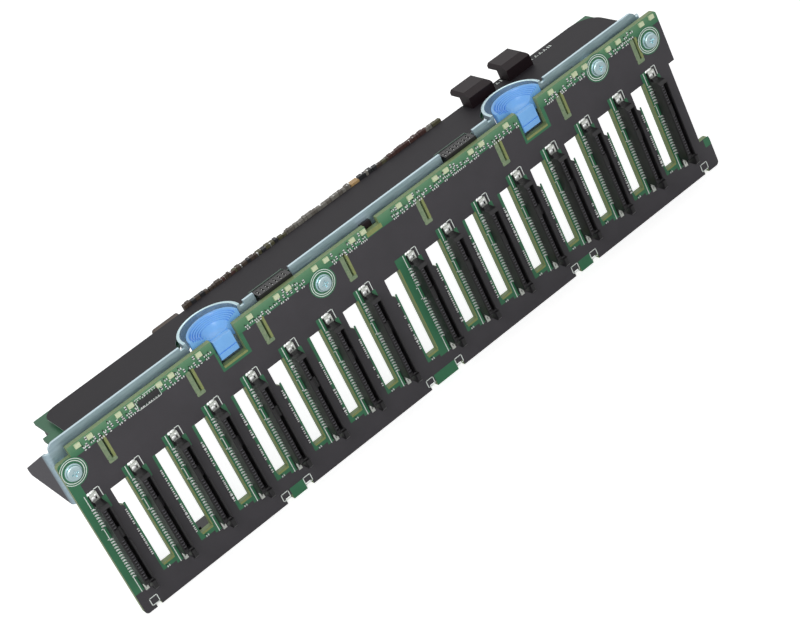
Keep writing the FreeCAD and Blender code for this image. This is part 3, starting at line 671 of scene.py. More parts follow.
blade_run = [(slot_left - 1.3, socket_face + 0.75), (slot_left - 0.35, socket_face + 0.55),
             (slot_left + 0.05, socket_face + 0.8), (slot_left + 0.28, socket_face + 1.6),
             (slot_left + 0.2, socket_face + 3.0), (slot_left - 0.05, socket_face + 4.6)]
foot_run = [(wall_left - 1.05, board_face - 0.13), (wall_left - 0.45, board_face - 0.13),
            (wall_left - 0.22, board_face - 0.24), (wall_left - 0.08, board_face - 0.6),
            (wall_left + 0.05, board_face - 0.8)]
blade_half = 0.22
blade_sheet = 0.16
foot_half = 0.28
foot_sheet = 0.18
land_half = 0.33
land_depth = 0.06
sunk = 0.005
blades = []
feet = []
for height in contact_heights:
    blades.append(strip_along(blade_run, height - blade_half, height + blade_half, blade_sheet))
    feet.append(strip_along(foot_run, height - foot_half, height + foot_half, foot_sheet))
    feet.append(block((wall_left - 1.35, wall_left - 0.3),
                      (board_face - land_depth, board_face + sunk),
                      (height - land_half, height + land_half)))
blades = broken_edges(joined(blades), 0.03)
feet = broken_edges(joined(feet), 0.03)
print("contacts of one socket:", len(contact_heights))

# %% [markdown]
# The hold-down tabs are stamped from thicker tinned sheet. Each hooks over an ear of the housing
# and is soldered to the board past the ear's end, with a slot through it for the solder. The
# solder itself stays as small bright mounds, which are spheres squeezed flat.

# %% Hold-down tabs of the first socket
def hold_down(left, right, inner, outer, toward_end):
    """A bent tab over an ear, from its inner end to the board past its outer end."""
    sheet = 0.35
    across = (left, right)
    past_end = outer + toward_end * sheet
    middle = (inner + outer) / 2
    lap = block(across, (ear_face - sheet, ear_face), tuple(sorted((inner, past_end))))
    leg = block(across, (ear_face - 0.01, board_face), tuple(sorted((outer, past_end))))
    fused(lap, leg)
    carve(lap, block((left + 0.65, right - 0.65), (ear_face - 1, ear_face + 0.1),
                     (middle - 0.9, middle + 0.3)))
    carve(lap, block((left - 1, left + 0.3), (ear_face - 1, ear_face + 0.1),
                     tuple(sorted((inner - 0.1, inner + toward_end * 0.6)))))
    return broken_edges(lap, 0.1, segments=2)


top_tab_width = 3.1
low_tab_width = 1.6
tab_left = wall_left + 0.25
low_tab_left = wall_left + 0.2
top_tab = hold_down(tab_left, tab_left + top_tab_width, body_top + 0.9, ear_top, 1)
bottom_tab = hold_down(low_tab_left, low_tab_left + low_tab_width, body_bottom - 0.6,
                       ear_bottom, -1)
tabs = joined([top_tab, bottom_tab])
print("hold-down tabs:", len(tabs.data.polygons), "faces")

# %% Solder mounds round the tabs
# Each row: place along X and Z, height over the board, half width and half length, all in mm.
solder_places = ((tab_left + 0.5, ear_top + 0.1, 0.1, 0.9, 0.8),
                 (tab_left + 1.9, ear_top + 0.1, 0.1, 1.3, 0.8),
                 (tab_left + 1.0, ear_top - 1.6, 1.35, 1.0, 1.0),
                 (tab_left + 2.3, ear_top - 0.8, 1.3, 0.8, 0.7),
                 (low_tab_left + 0.8, ear_bottom - 0.1, 0.1, 0.9, 0.5))
mound_rise = 0.4
solder = []
for x, z, height, wide, long in solder_places:
    bpy.ops.mesh.primitive_uv_sphere_add(segments=12, ring_count=8, radius=mm,
                                         location=(x * mm, (board_face - height) * mm, z * mm))
    bpy.ops.transform.resize(value=(wide, mound_rise, long))
    mound = settle(bpy.context.object)
    bpy.ops.object.shade_smooth()
    solder.append(mound)
solder = joined(solder)
print("solder mounds:", len(solder_places))

# %% [markdown]
# One socket is ready, in five pieces of different stuff. Each lane gets its own copy of all five,
# and the copies stand in for the plain pieces of the engineering model.

# %% Copy the socket to every lane
first_line = lane_lines[0] / mm
for lane in range(1, lane_count + 1):
    shift = lane_lines[lane - 1] / mm - first_line
    number = f"{lane:02d}"
    hand_over(copied(housing, shift), "socket_housing_" + number, "socket", "backplane",
              "connector_plastic", "drive_connector_" + number)
    hand_over(copied(blades, shift), "socket_blades_" + number, "blade", "backplane",
              "contact_metal")
    hand_over(copied(feet, shift), "socket_contacts_" + number, "solder", "backplane",
              "contact_metal", "drive_contacts_" + number)
    hand_over(copied(tabs, shift), "socket_tabs_" + number, "tin", "backplane", "tab_metal",
              "hold_down_tabs")
    hand_over(copied(solder, shift), "socket_solder_" + number, "solder", "backplane", "tab_metal")
for pattern in (housing, blades, feet, tabs, solder):
    bpy.data.objects.remove(pattern)
print("sockets:", lane_count)

# %% [markdown]
# ## Print, resist and bare laminate on the board
# A board comes out of its line with green solder resist, a charcoal ink over most of the front,
# white screen ink for outlines, and bare laminate along routed edges. Each of these is a film
# a few hundredths of a millimetre thick, laid here as flat patches with slightly round corners.
# Windows in the charcoal ink, where the green shows, come first.

# %% Flat patches of ink, resist and laminate
resist_depth = 0.03
laminate_depth = 0.04
ink_depth = 0.05
band_low = ear_bottom
board_left = board_low.x / mm
board_right = board_high.x / mm
board_top = board_high.z / mm
lane_xs = [line / mm for line in lane_lines]


def patch(x_span, z_span, depth=resist_depth):
    """A flat patch on the front of the board."""
    return block(x_span, (board_face - depth, board_face + sunk), z_span)


def rounded_patches(patches, radius):
    """Join patches and round their corners, the edges that run along Y."""
    same = 1e-4
    return bevel_where(joined(patches), radius, 3,
                       lambda a, b: abs(a.x - b.x) < same and abs(a.z - b.z) < same)


def line_box(x_span, z_span, width, sides="lrtb"):
    """A printed outline: any of the left, right, top and bottom lines of a rectangle."""
    x0, x1 = x_span
    z0, z1 = z_span
    strokes = {"l": ((x0, x0 + width), (z0, z1)), "r": ((x1 - width, x1), (z0, z1)),
               "b": ((x0, x1), (z0, z0 + width)), "t": ((x0, x1), (z1 - width, z1))}
    return [patch(*strokes[side], depth=ink_depth) for side in sides]


print("board from x =", round(board_left, 2), "to", round(board_right, 2), "mm")

# %% [markdown]
# An air slot lies right of each socket but the last. Some slots have a wider head at the top,
# and the one in the middle is moved over, because the board has a wider gap between sockets there.

# %% Air slots as the board has them
slot_bottom_z = body_bottom - 0.4
slot_top_z = body_top + 0.5
headed = {1, 5, 7, 8, 9, 12, 13, 14, 15}
slot_offset = 11.7
slot_width = 5.0
head_length = 7.5
step_z = slot_top_z - head_length
middle_lane = 8
middle_step = lane_xs[middle_lane] - lane_xs[middle_lane - 1]
slot_lefts = [x + slot_offset for x in lane_xs[:-1]]
slot_lefts[middle_lane - 1] += (middle_step - lane_pitch / mm) / 2
slot_rights = [left + slot_width for left in slot_lefts]
print("air slots:", len(slot_lefts), "of which with a wider head:", len(headed))

# %% Green windows in the charcoal ink
wide_border = 1.25
head_border = 0.8
window_right = 1.3
window_bottom = band_low - 0.4
first_window_top = 65.5
# The first window takes in the board's left edge, the others run from slot to socket.
windows = [patch((board_left + 0.05, lane_xs[0] + window_right), (window_bottom, first_window_top))]
for x, slot_edge in zip(lane_xs[1:], slot_rights):
    windows.append(patch((slot_edge, x + window_right), (window_bottom, ear_top + 0.7)))
for lane, left in enumerate(slot_lefts, start=1):
    border_top = step_z if lane in headed else slot_top_z + 0.2
    border = head_border if lane in headed else wide_border
    windows.append(patch((left - border, left), (slot_bottom_z, border_top)))
    windows.append(patch((left - border, left + slot_width), (slot_bottom_z - 2.5, slot_bottom_z)))
# Right of each socket, green shows beside its lower ear and beside its upper one.
for x in lane_xs:
    windows.append(patch((x + 5.15, x + 6.5), (ear_bottom + 0.2, ear_bottom + 4.2)))
    windows.append(patch((x + 5.15, x + 7.3), (ear_top - 9.2, ear_top - 3.6)))
green = rounded_patches(windows, 0.25)
hand_over(green, "solder_resist_windows", "resist", "backplane", "board_laminate")
print("resist windows:", len(windows))

# %% [markdown]
# The notches for the latches, the key notch, the feet and the screws have green borders too.
# Under each screw head lies a green disc, and white rings are printed round it later.

# %% Green round notches
latch_names = ("release_latch_left", "release_latch_right")
latch_middles = []
for name in latch_names:
    low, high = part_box(name)
    latch_middles.append((low.x + high.x) / 2 / mm)
notch_half = 5.35
notch_shift = 0.45
notch_floor = board_top - 11.5
notch_spans = [(x + notch_shift - notch_half, x + notch_shift + notch_half) for x in latch_middles]
print_edge = print_top / mm
left_border = 0.9
right_border = 1.5
floor_border = 1.9
borders = []
for left, right in notch_spans:
    borders.append(patch((left - left_border, left), (notch_floor, print_edge)))
    borders.append(patch((right, right + right_border), (notch_floor, print_edge)))
    borders.append(patch((left - left_border, right + right_border),
                         (notch_floor - floor_border, notch_floor)))
print("notches between", [(round(left, 1), round(right, 1)) for left, right in notch_spans])

# %% Green round screws and feet
screw_places = ((lane_xs[0] + 1.5, board_top - 9.0), (lane_xs[6] + 8.05, board_top - 8.4),
                (lane_xs[14] + 0.35, board_top - 5.2), (lane_xs[15] + 8.35, board_top - 9.1))


def ring(x, z, outer, inner, depth):
    """A flat printed ring, made from a disc and a bore, and cut off at the board's left edge."""
    disc = rod((x, board_face - depth / 2, z), outer, depth, 48)
    carve(disc, rod((x, board_face - depth / 2, z), inner, depth * 4, 48))
    if x - outer < board_left:
        carve(disc, block((x - outer - 1, board_left + 0.02), (board_face - 1, board_face + 1),
                          (z - outer - 1, z + outer + 1)))
    return disc


discs = [ring(x, z, 5.7, 1.7, laminate_depth) for x, z in screw_places]
foot_band = 4.8
key_x = lane_xs[7] + 18.25
feet_x = ((lane_xs[4] - 1.85, 3.2), (key_x, 5.3), (lane_xs[12] - 2.3, 3.2))
foot_patches = [patch((x - half, x + half), (0.05, foot_band)) for x, half in feet_x]
foot_patches.append(patch((board_right - 3.2, board_right - 0.2), (ear_bottom, 13.7)))
extra_green = joined([rounded_patches(borders + foot_patches, 0.3)] + discs)
hand_over(extra_green, "solder_resist_borders", "resist", "backplane", "board_laminate")
print("screw places in mm:", [(round(x, 1), round(z, 1)) for x, z in screw_places])

# %% [markdown]
# A router leaves raw laminate where it cuts close to the resist. It shows as olive strips right
# of each air slot and on the floors of notches, and as worn grey green beside the narrow slits.

# %% Bare laminate along slots, slits and notches
slit_places = [lane_xs[lane - 1] + 16.4 for lane in (1, 5, 9, 13)]
slit_places += [lane_xs[lane - 1] + 2.1 for lane in (4, 8, 12, 16)]
slit_low = board_top - 13.8
slit_top = slit_low + 9.4
slit_half = 0.4
bare = []
worn = []
for left, right in zip(slot_lefts, slot_rights):
    bare.append(patch((right, right + 0.5), (slot_bottom_z, slot_top_z), laminate_depth))
    bare.append(patch((left + 0.3, right + 0.3), (slot_bottom_z - 0.9, slot_bottom_z),
                      laminate_depth))
for x in slit_places:
    worn.append(patch((x - 2.2, x - slit_half), (slit_low, slit_top), laminate_depth))
    bare.append(patch((x + slit_half, x + 1.4), (slit_low, slit_top), laminate_depth))
    worn.append(patch((x - 2.2, x + 1.4), (slit_low - 1.5, slit_low), laminate_depth))
for left, right in notch_spans:
    bare.append(patch((left + 0.2, right + 0.2), (notch_floor - 0.9, notch_floor), ink_depth))
key_middle = key_x - 0.7
key_half = 3.6
bare.append(patch((key_middle - key_half, key_middle + key_half),
                  (board_top - 4.6, board_top - 2.7), ink_depth))
hand_over(rounded_patches(bare, 0.2), "bare_laminate_strips", "bare", "backplane",
          "board_laminate")
hand_over(rounded_patches(worn, 0.45), "slit_borders", "worn", "backplane", "board_laminate")
print("bare strips:", len(bare), "and worn ones:", len(worn))

# %% [markdown]
# White outlines are printed last. They mark where a socket and its plug will stand, the corners
# of the feet, and two rings round each screw. No words are printed.

# %% White screen ink
stroke = 0.32
plug_mark = (34.8, 40.0)
low_line_top = 16.2
strokes = []
# Left of the upper ear, at the key, left of the lower ear, then right of the upper and lower ears.
for x in lane_xs:
    strokes += line_box((x, x + 1), (ear_top - 5.2, ear_top + 0.5), stroke, "l")
    strokes += line_box((x - 0.7, x + stroke), plug_mark, stroke, "rtb")
    strokes += line_box((x, x + 1), (band_low - 0.6, low_line_top), stroke, "l")
    strokes += line_box((x + 4.4, x + 6.6), (ear_top - 3.5, ear_top + 0.9), stroke, "rt")
    strokes += line_box((x + 5.4, x + 6.4), (ear_bottom - 0.2, ear_bottom + 4.0), stroke, "r")
foot_gaps = (0.0, 62.0, 72.6, 134.2, 148.8, 210.8, 220.8, 283.2)
for gap in foot_gaps:
    x = board_left + 3.5 + gap
    strokes += line_box((x, x + 3.6), (1.5, 4.9), stroke)
ring_depth = 0.06
for x, z in screw_places:
    strokes.append(ring(x, z, 4.45, 4.15, ring_depth))
    strokes.append(ring(x, z, 5.2, 4.95, ring_depth))
hand_over(joined(strokes), "white_screen_ink", "ink", "backplane", "board_laminate")
print("strokes:", len(strokes))

# %% [markdown]
# ## Small parts on the drive board
# Chip resistors and capacitors stand in columns beside the air slots and in rows under the
# indicator lights. Each is a block of ceramic with a tinned cap at both ends, about a millimetre
# long. One is modelled standing and copied, some of the copies lying on their side.

# %% One chip part
random.seed(11)
cap_share = 0.34


def chip_pattern(length, width, height):
    """Body and end caps of a chip part that stands on the board's face at the origin."""
    half = width / 2
    end = length / 2
    inner_end = end - length * cap_share
    body = block((-half, half), (board_face - height, board_face), (-inner_end, inner_end))
    caps = [block((-half - 0.02, half + 0.02), (board_face - height - 0.03, board_face), span)
            for span in ((-end, -inner_end), (inner_end, end))]
    return broken_edges(body, 0.04), broken_edges(joined(caps), 0.05)


small_body, small_ends = chip_pattern(1.3, 0.7, 0.4)
large_body, large_ends = chip_pattern(1.8, 1.0, 0.55)
bodies = []
ends = []


def place_chip(x, z, large=False, turned=False):
    """Copy a chip part to a place on the board's face."""
    body, caps = (large_body, large_ends) if large else (small_body, small_ends)
    bodies.append(copied(body, x, z, turned))
    ends.append(copied(caps, x, z, turned))


print("faces of one chip part:", len(small_body.data.polygons) + len(small_ends.data.polygons))

# %% Columns beside the air slots
column_top = 45.0
headed_column_top = 41.5
for lane, left in enumerate(slot_lefts, start=1):
    top = headed_column_top if lane in headed else column_top
    height = top - random.uniform(0.0, 3.0)
    while height > slot_bottom_z + 2.0:
        if random.random() < 0.8:
            place_chip(left - 1.15, height, large=random.random() < 0.15)
        height -= random.uniform(1.5, 2.3)
    place_chip(left + 1.2, slot_bottom_z - 1.7, turned=True)
for x in lane_xs[1:]:
    place_chip(x + 0.35, 44.9)
    place_chip(x + 0.3, 31.4)
print("parts beside the slots:", len(bodies))

# %% Rows under the indicator lights
first_row = 71.1
second_row = 69.95
upper_rows = (72.7, 73.2)
strip_gaps = [(x - 6.8, x + 7.8) for x in latch_middles]
strip_gaps += [(x - 5.8, x + 5.8) for x, z in screw_places]
strip_gaps.append((key_x - 4.5, key_x + 8.0))
x = board_left + 6.0
while x < board_right - 4.0:
    if not any(low < x < high for low, high in strip_gaps):
        place_chip(x, first_row + random.uniform(-0.2, 0.3), turned=random.random() < 0.5)
        if random.random() < 0.7:
            place_chip(x + 0.3, second_row, turned=random.random() < 0.7)
        if random.random() < 0.45:
            place_chip(x + 0.7, random.choice(upper_rows), turned=random.random() < 0.6)
    x += random.uniform(1.5, 2.4)
hand_over(joined(bodies), "chip_part_bodies", "chip", "backplane", "chip_body")
hand_over(joined(ends), "chip_part_ends", "solder", "backplane", "contact_metal")
for pattern in (small_body, small_ends, large_body, large_ends):
    bpy.data.objects.remove(pattern)
print("small parts in all:", len(bodies))

# %% [markdown]
# A flat driver chip with legs along both sides sits in the row of lights, framed by a printed
# outline. Its legs are so short that a small block with broken edges stands for each.

# %% Driver chip in the row of lights
driver_left = lane_xs[2] - 2.6
driver_right = driver_left + 9.0
driver_low, driver_high = 70.0, 72.4
driver = block((driver_left, driver_right), (board_face - 0.9, board_face - 0.1),
               (driver_low, driver_high))
broken_edges(driver, 0.12, segments=2)
hand_over(driver, "driver_chip", "chip", "backplane", "chip_body")
leg_count = 8
leg_reach = 0.7
first_leg = driver_left + 0.8
leg_run = driver_right - driver_left - 1.6
legs = []
for index in range(leg_count):
    x = first_leg + index * leg_run / (leg_count - 1)
    for span in ((driver_low - leg_reach, driver_low), (driver_high, driver_high + leg_reach)):
        legs.append(block((x - 0.2, x + 0.2), (board_face - 0.25, board_face), span))
hand_over(broken_edges(joined(legs), 0.05), "driver_chip_legs", "solder", "backplane",
          "contact_metal")
frame_lines = line_box((driver_left - 0.6, driver_right + 0.6),
                       (driver_low - 1.1, driver_high + 1.1), 0.2)
hand_over(joined(frame_lines), "driver_chip_outline", "ink", "backplane", "board_laminate")
print("driver chip legs:", len(legs))

# %% [markdown]
# ## Release latches
# A latch is one moulding: a half-round pad with a scoop for the finger, fine ridges near its
# rim for grip, a flat tongue in front that shows in the board's notch, and a sleeve below that
# slides on the bracket's shelf. The pad is half a turned shape: a filled circle is pulled to
# its outline and spun through 180 degrees. Tongue, neck and sleeve are blocks joined to it.

# %% Outline of the pad
pad_radius = 10.9
pad_front = 1.9
latch_low, latch_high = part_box("release_latch_left")
rim_height = latch_high.z / mm
pad_base = 69.2
ridge_count = 5
ridge_pitch = 0.85
ridge_drop = 0.32
axis_gap = 0.01
outline = [(axis_gap, pad_base), (pad_radius, pad_base), (pad_radius, rim_height - 0.4),
           (pad_radius - 0.3, rim_height), (pad_radius - 1.0, rim_height)]
radius = pad_radius - 1.3
height = rim_height - 0.5
for ridge in range(ridge_count):
    outline += [(radius, height), (radius - 0.2, height - 0.75), (radius - 0.4, height - 0.75),
                (radius - 0.55, height - 0.1)]
    radius -= ridge_pitch
    height -= ridge_drop
outline += [(4.6, rim_height - 3.6), (3.4, rim_height - 4.3), (axis_gap, rim_height - 4.4)]
print("points in the pad's outline:", len(outline))


# %% Spin the pad
def latch_pad(x):
    """Half of a turned pad about a vertical axis through its front face."""
    bpy.ops.mesh.primitive_circle_add(vertices=len(outline), radius=pad_radius * mm,
                                      fill_type="NGON")
    pad = settle(bpy.context.object)
    for corner, (reach, rise) in zip(pad.data.vertices, outline):
        corner.co = Vector((x + reach, pad_front, rise)) * mm
    bpy.ops.object.mode_set(mode="EDIT")
    bpy.ops.mesh.select_all(action="SELECT")
    bpy.ops.mesh.spin(steps=36, angle=-math.pi, center=(x * mm, pad_front * mm, 0), axis=(0, 0, 1))
    bpy.ops.mesh.select_all(action="SELECT")
    bpy.ops.mesh.remove_doubles(threshold=0.03 * mm)
    bpy.ops.mesh.normals_make_consistent(inside=False)
    bpy.ops.object.mode_set(mode="OBJECT")
    return pad


print("the pad reaches", pad_radius, "mm from its axis")

# %% [markdown]
# The tongue and the sleeve are welded to the pad, a groove is pressed across the tongue, and the
# sleeve gets the flat opening by which it slides on the shelf.

# %% Tongue, neck and sleeve
tongue_half = 4.1
tongue_thick = 1.6
tongue_front = latch_low.y / mm
tongue_bottom = latch_low.z / mm
neck_top = rim_height - 4.5
neck_inset = 0.02
shelf_top = board_top - 5.4
sleeve_half = 5.5
sleeve_front = 4.9
sleeve_rear = 10.9
opening_half = 4.3
for name, x in zip(latch_names, latch_middles):
    latch = latch_pad(x)
    tongue = block((x - tongue_half, x + tongue_half), (tongue_front, tongue_front + tongue_thick),
                   (tongue_bottom, neck_top))
    bevel_where(tongue, 0.35, 3, lambda a, b: in_face(tongue_front, a, b))
    neck = block((x - tongue_half + neck_inset, x + tongue_half - neck_inset),
                 (tongue_front + 0.4, pad_front + 0.3), (pad_base + 0.05, neck_top - neck_inset))
    sleeve = block((x - sleeve_half, x + sleeve_half), (sleeve_front, sleeve_rear),
                   (shelf_top - 2.7, pad_base + 0.5))
    for extra in (neck, tongue, sleeve):
        fused(latch, extra)
    carve(latch, block((x - opening_half, x + opening_half), (sleeve_front - 1, sleeve_rear + 1),
                       (shelf_top - 1.5, shelf_top + 0.3)))
    carve(latch, block((x - 6, x + 6), (tongue_front - 1, tongue_front + 0.45),
                       (tongue_bottom + 2.5, tongue_bottom + 3.0)))
    broken_edges(latch, 0.08, angle=50)
    body = name.replace("release_", "")
    hand_over(latch, "moulded_" + body, "latch", body, "latch_plastic", name)
    print(name, "has", len(latch.data.polygons), "faces")

# %% [markdown]
# ## Bracket details
# The hoops round the latches have a rolled rim, where the sheet's cut edge is turned to spare
# the fingers. Half of a ring is cut from a torus, and a short rod leads each of its ends forward
# to the plate. Beside the key notch a black rubber pad stands between board and bracket.

# %% Rolled rims of the hoops
rim_radius = 12.3
rim_half = 0.62
rim_sides = 14
rim_z = rim_height - 0.45
hoop_y = 5.0
cutter_reach = 15
for side, x in zip(("left", "right"), latch_middles):
    bpy.ops.mesh.primitive_torus_add(location=(x * mm, hoop_y * mm, rim_z * mm),
                                     major_radius=rim_radius * mm, minor_radius=rim_half * mm,
                                     major_segments=72, minor_segments=rim_sides)
    rim = settle(bpy.context.object)
    carve(rim, block((x - cutter_reach, x + cutter_reach), (hoop_y - cutter_reach, hoop_y),
                     (rim_z - 2, rim_z + 2)))
    ends = [rod((x + way * rim_radius, (hoop_y + plate_back) / 2, rim_z), rim_half,
                hoop_y - plate_back, rim_sides) for way in (-1, 1)]
    rim = joined([rim] + ends)
    bpy.ops.object.shade_smooth_by_angle(angle=smooth_below)
    hand_over(rim, "hoop_rim_" + side, "zinc", "backplane", "bracket_steel")
print("hoop rims at", [round(x, 1) for x in latch_middles])

# %% Rubber pad beside the key notch
pad_left = key_x - 3.9
pad_width = 4.6
rubber_pad = block((pad_left, pad_left + pad_width), (1.25, 3.15),
                   (board_top - 4.0, board_top - 0.2))
broken_edges(rubber_pad, 0.25, segments=2)
hand_over(rubber_pad, "rubber_pad", "port", "backplane", "connector_plastic")
print("rubber pad:", len(rubber_pad.data.polygons), "faces")

# %% [markdown]
# ## Screws
# Four pan-head screws hold bracket and board together. The head is a turned disc with a domed
# rim, on a wider flange, and its cross recess is pressed in. The zinc is blue passivated.

# %% Pan heads with flange and cross recess
flange_radius, flange_thick = 3.4, 0.6
head_radius, head_thick = 2.95, 1.6
head_face = board_face - 2.0
recess_floor = board_face - 1.2
recess_long, recess_short = 1.3, 0.32
screws = []
for x, z in screw_places:
    flange = rod((x, board_face - flange_thick / 2, z), flange_radius, flange_thick, 40)
    broken_edges(flange, 0.2, segments=2)
    head = rod((x, board_face - 1.2, z), head_radius, head_thick, 40)
    bevel_where(head, 0.55, 4, lambda a, b: in_face(head_face, a, b))
    for across, upright in ((recess_long, recess_short), (recess_short, recess_long)):
        carve(head, block((x - across, x + across), (board_face - 3, recess_floor),
                          (z - upright, z + upright)))
    broken_edges(head, 0.06, angle=60)
    shank = rod((x, board_face + 2.6, z), 1.45, 5.6, 24)
    screws += [flange, head, shank]
hand_over(joined(screws), "pan_head_screws", "zinc", "backplane", "screw_zinc", "bracket_screws")
print("screws:", len(screw_places))

# %% [markdown]
# ## Rear card
# Behind the film's rear edge the card carries a close row of power parts: chokes, ceramic
# capacitors, transistors and one tantalum capacitor, with bright solder between them. Parts of
# several colours are drawn from a short list that says which colours reign along which stretch.

# %% Close row of parts along the rear edge of the card
# Each stretch: its two ends along X in mm, the finishes in it, and how tall its parts are.
card_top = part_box("rear_card")[1].z / mm
row_front = 28.95
stretches = (
    (-69.4, -57.5, ("brown_part", "chip"), 3.2), (-57.5, -46.0, ("red_part", "brown_part"), 3.0),
    (-46.0, -24.0, ("chip", "olive_part", "brown_part"), 3.1), (-24.0, -20.5, ("olive_part",), 2.9),
    (-20.5, 11.6, ("grey_part", "ceramic"), 3.2), (16.0, 24.5, ("grey_part", "chip"), 3.3),
    (24.5, 31.0, ("olive_part", "brown_part"), 3.0), (31.0, 50.0, ("red_part",), 3.3),
    (50.0, 58.0, ("olive_part", "grey_part"), 3.2),
)
joint_width = 0.5
joint_depth = 0.9
by_finish = {}
joints = []
for low, high, keys, tall in stretches:
    x = low
    while x < high - 0.6:
        width = random.uniform(0.9, 2.2)
        front = row_front + random.uniform(0.0, 0.5)
        height = tall + random.uniform(-0.2, 0.1)
        depth = random.uniform(1.6, 2.6)
        part = block((x, x + width), (front, front + depth), (card_top, card_top + height))
        by_finish.setdefault(random.choice(keys), []).append(part)
        x += width
        if random.random() < 0.45:
            end = front + random.uniform(0.0, 1.2)
            joints.append(block((x - 0.1, x + joint_width), (end, end + joint_depth),
                                (card_top, card_top + height * 0.97)))
        x += random.uniform(0.05, 0.2)
print("parts in the row:", sum(len(pieces) for pieces in by_finish.values()))

# %% Hand over the row, one piece for each finish
stand_ins = {"brown_part": ("coil_body", "card_coils"),
             "grey_part": ("capacitor_body", "card_capacitors")}
for key, pieces in by_finish.items():
    row = broken_edges(joined(pieces), 0.1)
    slot, *replaced = stand_ins.get(key, ("capacitor_body",))
    hand_over(row, "row_of_" + key + "s", key, "backplane", slot, *replaced)
hand_over(broken_edges(joined(joints), 0.08), "row_solder_joints", "solder", "backplane",
          "contact_metal")
filter_top = card_top + 1.7
low_filter = block((-84.0, -71.8), (29.0, 32.0), (card_top, filter_top))
bevel_where(low_filter, 1.1, 4, lambda a, b: along_y(a, b) and a.z > filter_top - touch)
hand_over(broken_edges(low_filter, 0.15), "low_filter", "brown_part", "backplane", "coil_body")
print("finishes in the row:", ", ".join(by_finish))

# %% [markdown]
# The film is printed beside each port with a small arrow, a few plain strokes, and bars that tell
# the ports apart, one for the first and two for the second. The marks carry no words.

# %% Marks on the film
film_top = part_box("card_film")[1].z / mm
film_ink = 0.04
mark_height = 1.7
# Each row: where a mark starts along X and Y in mm, and how many strokes it has.
mark_places = ((81.6, 25.6, 1), (101.6, 24.6, 3))
marks = []


def film_patch(x_span, y_span):
    """A flat patch of ink on the film."""
    return block(x_span, y_span, (film_top - sunk, film_top + film_ink))


for count, (start, base, stroke_count) in enumerate(mark_places, start=1):
    arrow_place = ((start + 0.9) * mm, (base + 0.7) * mm, (film_top + 0.018) * mm)
    bpy.ops.mesh.primitive_cylinder_add(vertices=3, radius=1.0 * mm, depth=0.045 * mm,
                                        location=arrow_place)
    marks.append(settle(bpy.context.object))
    x = start + 2.7
    for index in range(stroke_count):
        marks.append(film_patch((x, x + 1.6), (base, base + 0.45)))
        marks.append(film_patch((x + 0.55, x + 1.05), (base, base + mark_height)))
        x += 2.3
    for index in range(count):
        marks.append(film_patch((x + 0.2, x + 0.75), (base, base + mark_height)))
        x += 1.1
hand_over(joined(marks), "film_marks", "ink", "backplane", "film")
print("marks on the film:", len(marks))

# %% [markdown]
# ## Ports
# A data port is a hooded moulding. The cable's plug slides under the hood onto a tongue with
# gold-plated contacts, so the rows of contacts are added on both sides of the tongue.

# %% Contacts on the port tongues
side_wall = 2.6
contact_count = 9
contact_half = 0.2
contact_span = (22.2, 26.8)
lower_side = card_top + 2.75
upper_side = lower_side + 0.8
contact_strips = []
for port in ("data_port_a", "data_port_b"):
    low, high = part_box(port)
    left = low.x / mm + side_wall
    right = high.x / mm - side_wall
    for index in range(contact_count):
        x = left + index * (right - left) / (contact_count - 1)
        across = (x - contact_half, x + contact_half)
        contact_strips.append(block(across, contact_span, (lower_side - 0.04, lower_side + 0.1)))
        contact_strips.append(block(across, contact_span, (upper_side, upper_side + 0.14)))
hand_over(joined(contact_strips), "port_contacts", "tin", "backplane", "contact_metal")
print("port contacts:", len(contact_strips))

# %% [markdown]
# ## Headers, power socket and the back of the board
# The board-to-card headers hold square pins in a row of pockets. The power socket has a pin in
# each of its ten cavities. On the back of the drive board, fine raised lines show where copper
# tracks run under the resist.

# %% Pins of the headers and the power socket
header_columns = 7
header_pitch = 2.0
header_rows = (2.6, 4.6)
pin_half = 0.2
pins = []
for name in ("board_socket_left", "board_socket_right"):
    low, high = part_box(name)
    top = high.z / mm
    for index in range(header_columns):
        x = low.x / mm + 1.2 + index * header_pitch
        for y in header_rows:
            pins.append(block((x - pin_half, x + pin_half), (y - pin_half, y + pin_half),
                              (top - 0.6, top - 0.1)))
power_low, power_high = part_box("power_header")
power_middle = (power_low.x + power_high.x) / 2 / mm
power_pitch = 4.0
power_rows = (4.7, 8.7)
power_half = 0.6
for z in power_rows:
    for column in range(-2, 3):
        x = power_middle + column * power_pitch
        pins.append(block((x - power_half, x + power_half), (3.9, 9.4),
                          (z - power_half, z + power_half)))
hand_over(broken_edges(joined(pins), 0.1), "header_pins", "tin", "backplane", "contact_metal")
print("pins:", len(pins))

# %% Tracks on the back
back_face = 1.2
track_span = (back_face - sunk, back_face + 0.04)
track_width = 0.35
track_pitch = 0.8
bus_span = (9.4, 9.75)
tracks = []
for index, x in enumerate(lane_xs):
    for line in range(4):
        left = x + 6.9 + line * track_pitch
        tracks.append(block((left, left + track_width), track_span,
                            (12.0 + line, 48.0 - line * 1.6)))
    if index < lane_count - 1:
        tracks.append(block((x + 6.9, x + 20.0), track_span, bus_span))
hand_over(joined(tracks), "copper_tracks", "resist", "backplane", "board_laminate")
print("tracks on the back:", len(tracks))

# %% [markdown]
# ## Camera, floor and light
# The board stands on its lower edge. A long lens looks down on it from the front left, and is
# rolled so that the board runs uphill. The floor is a plain pale sheet. Light comes from two
# soft lamps and from the pale surroundings, at a level at which a colour shows as written.

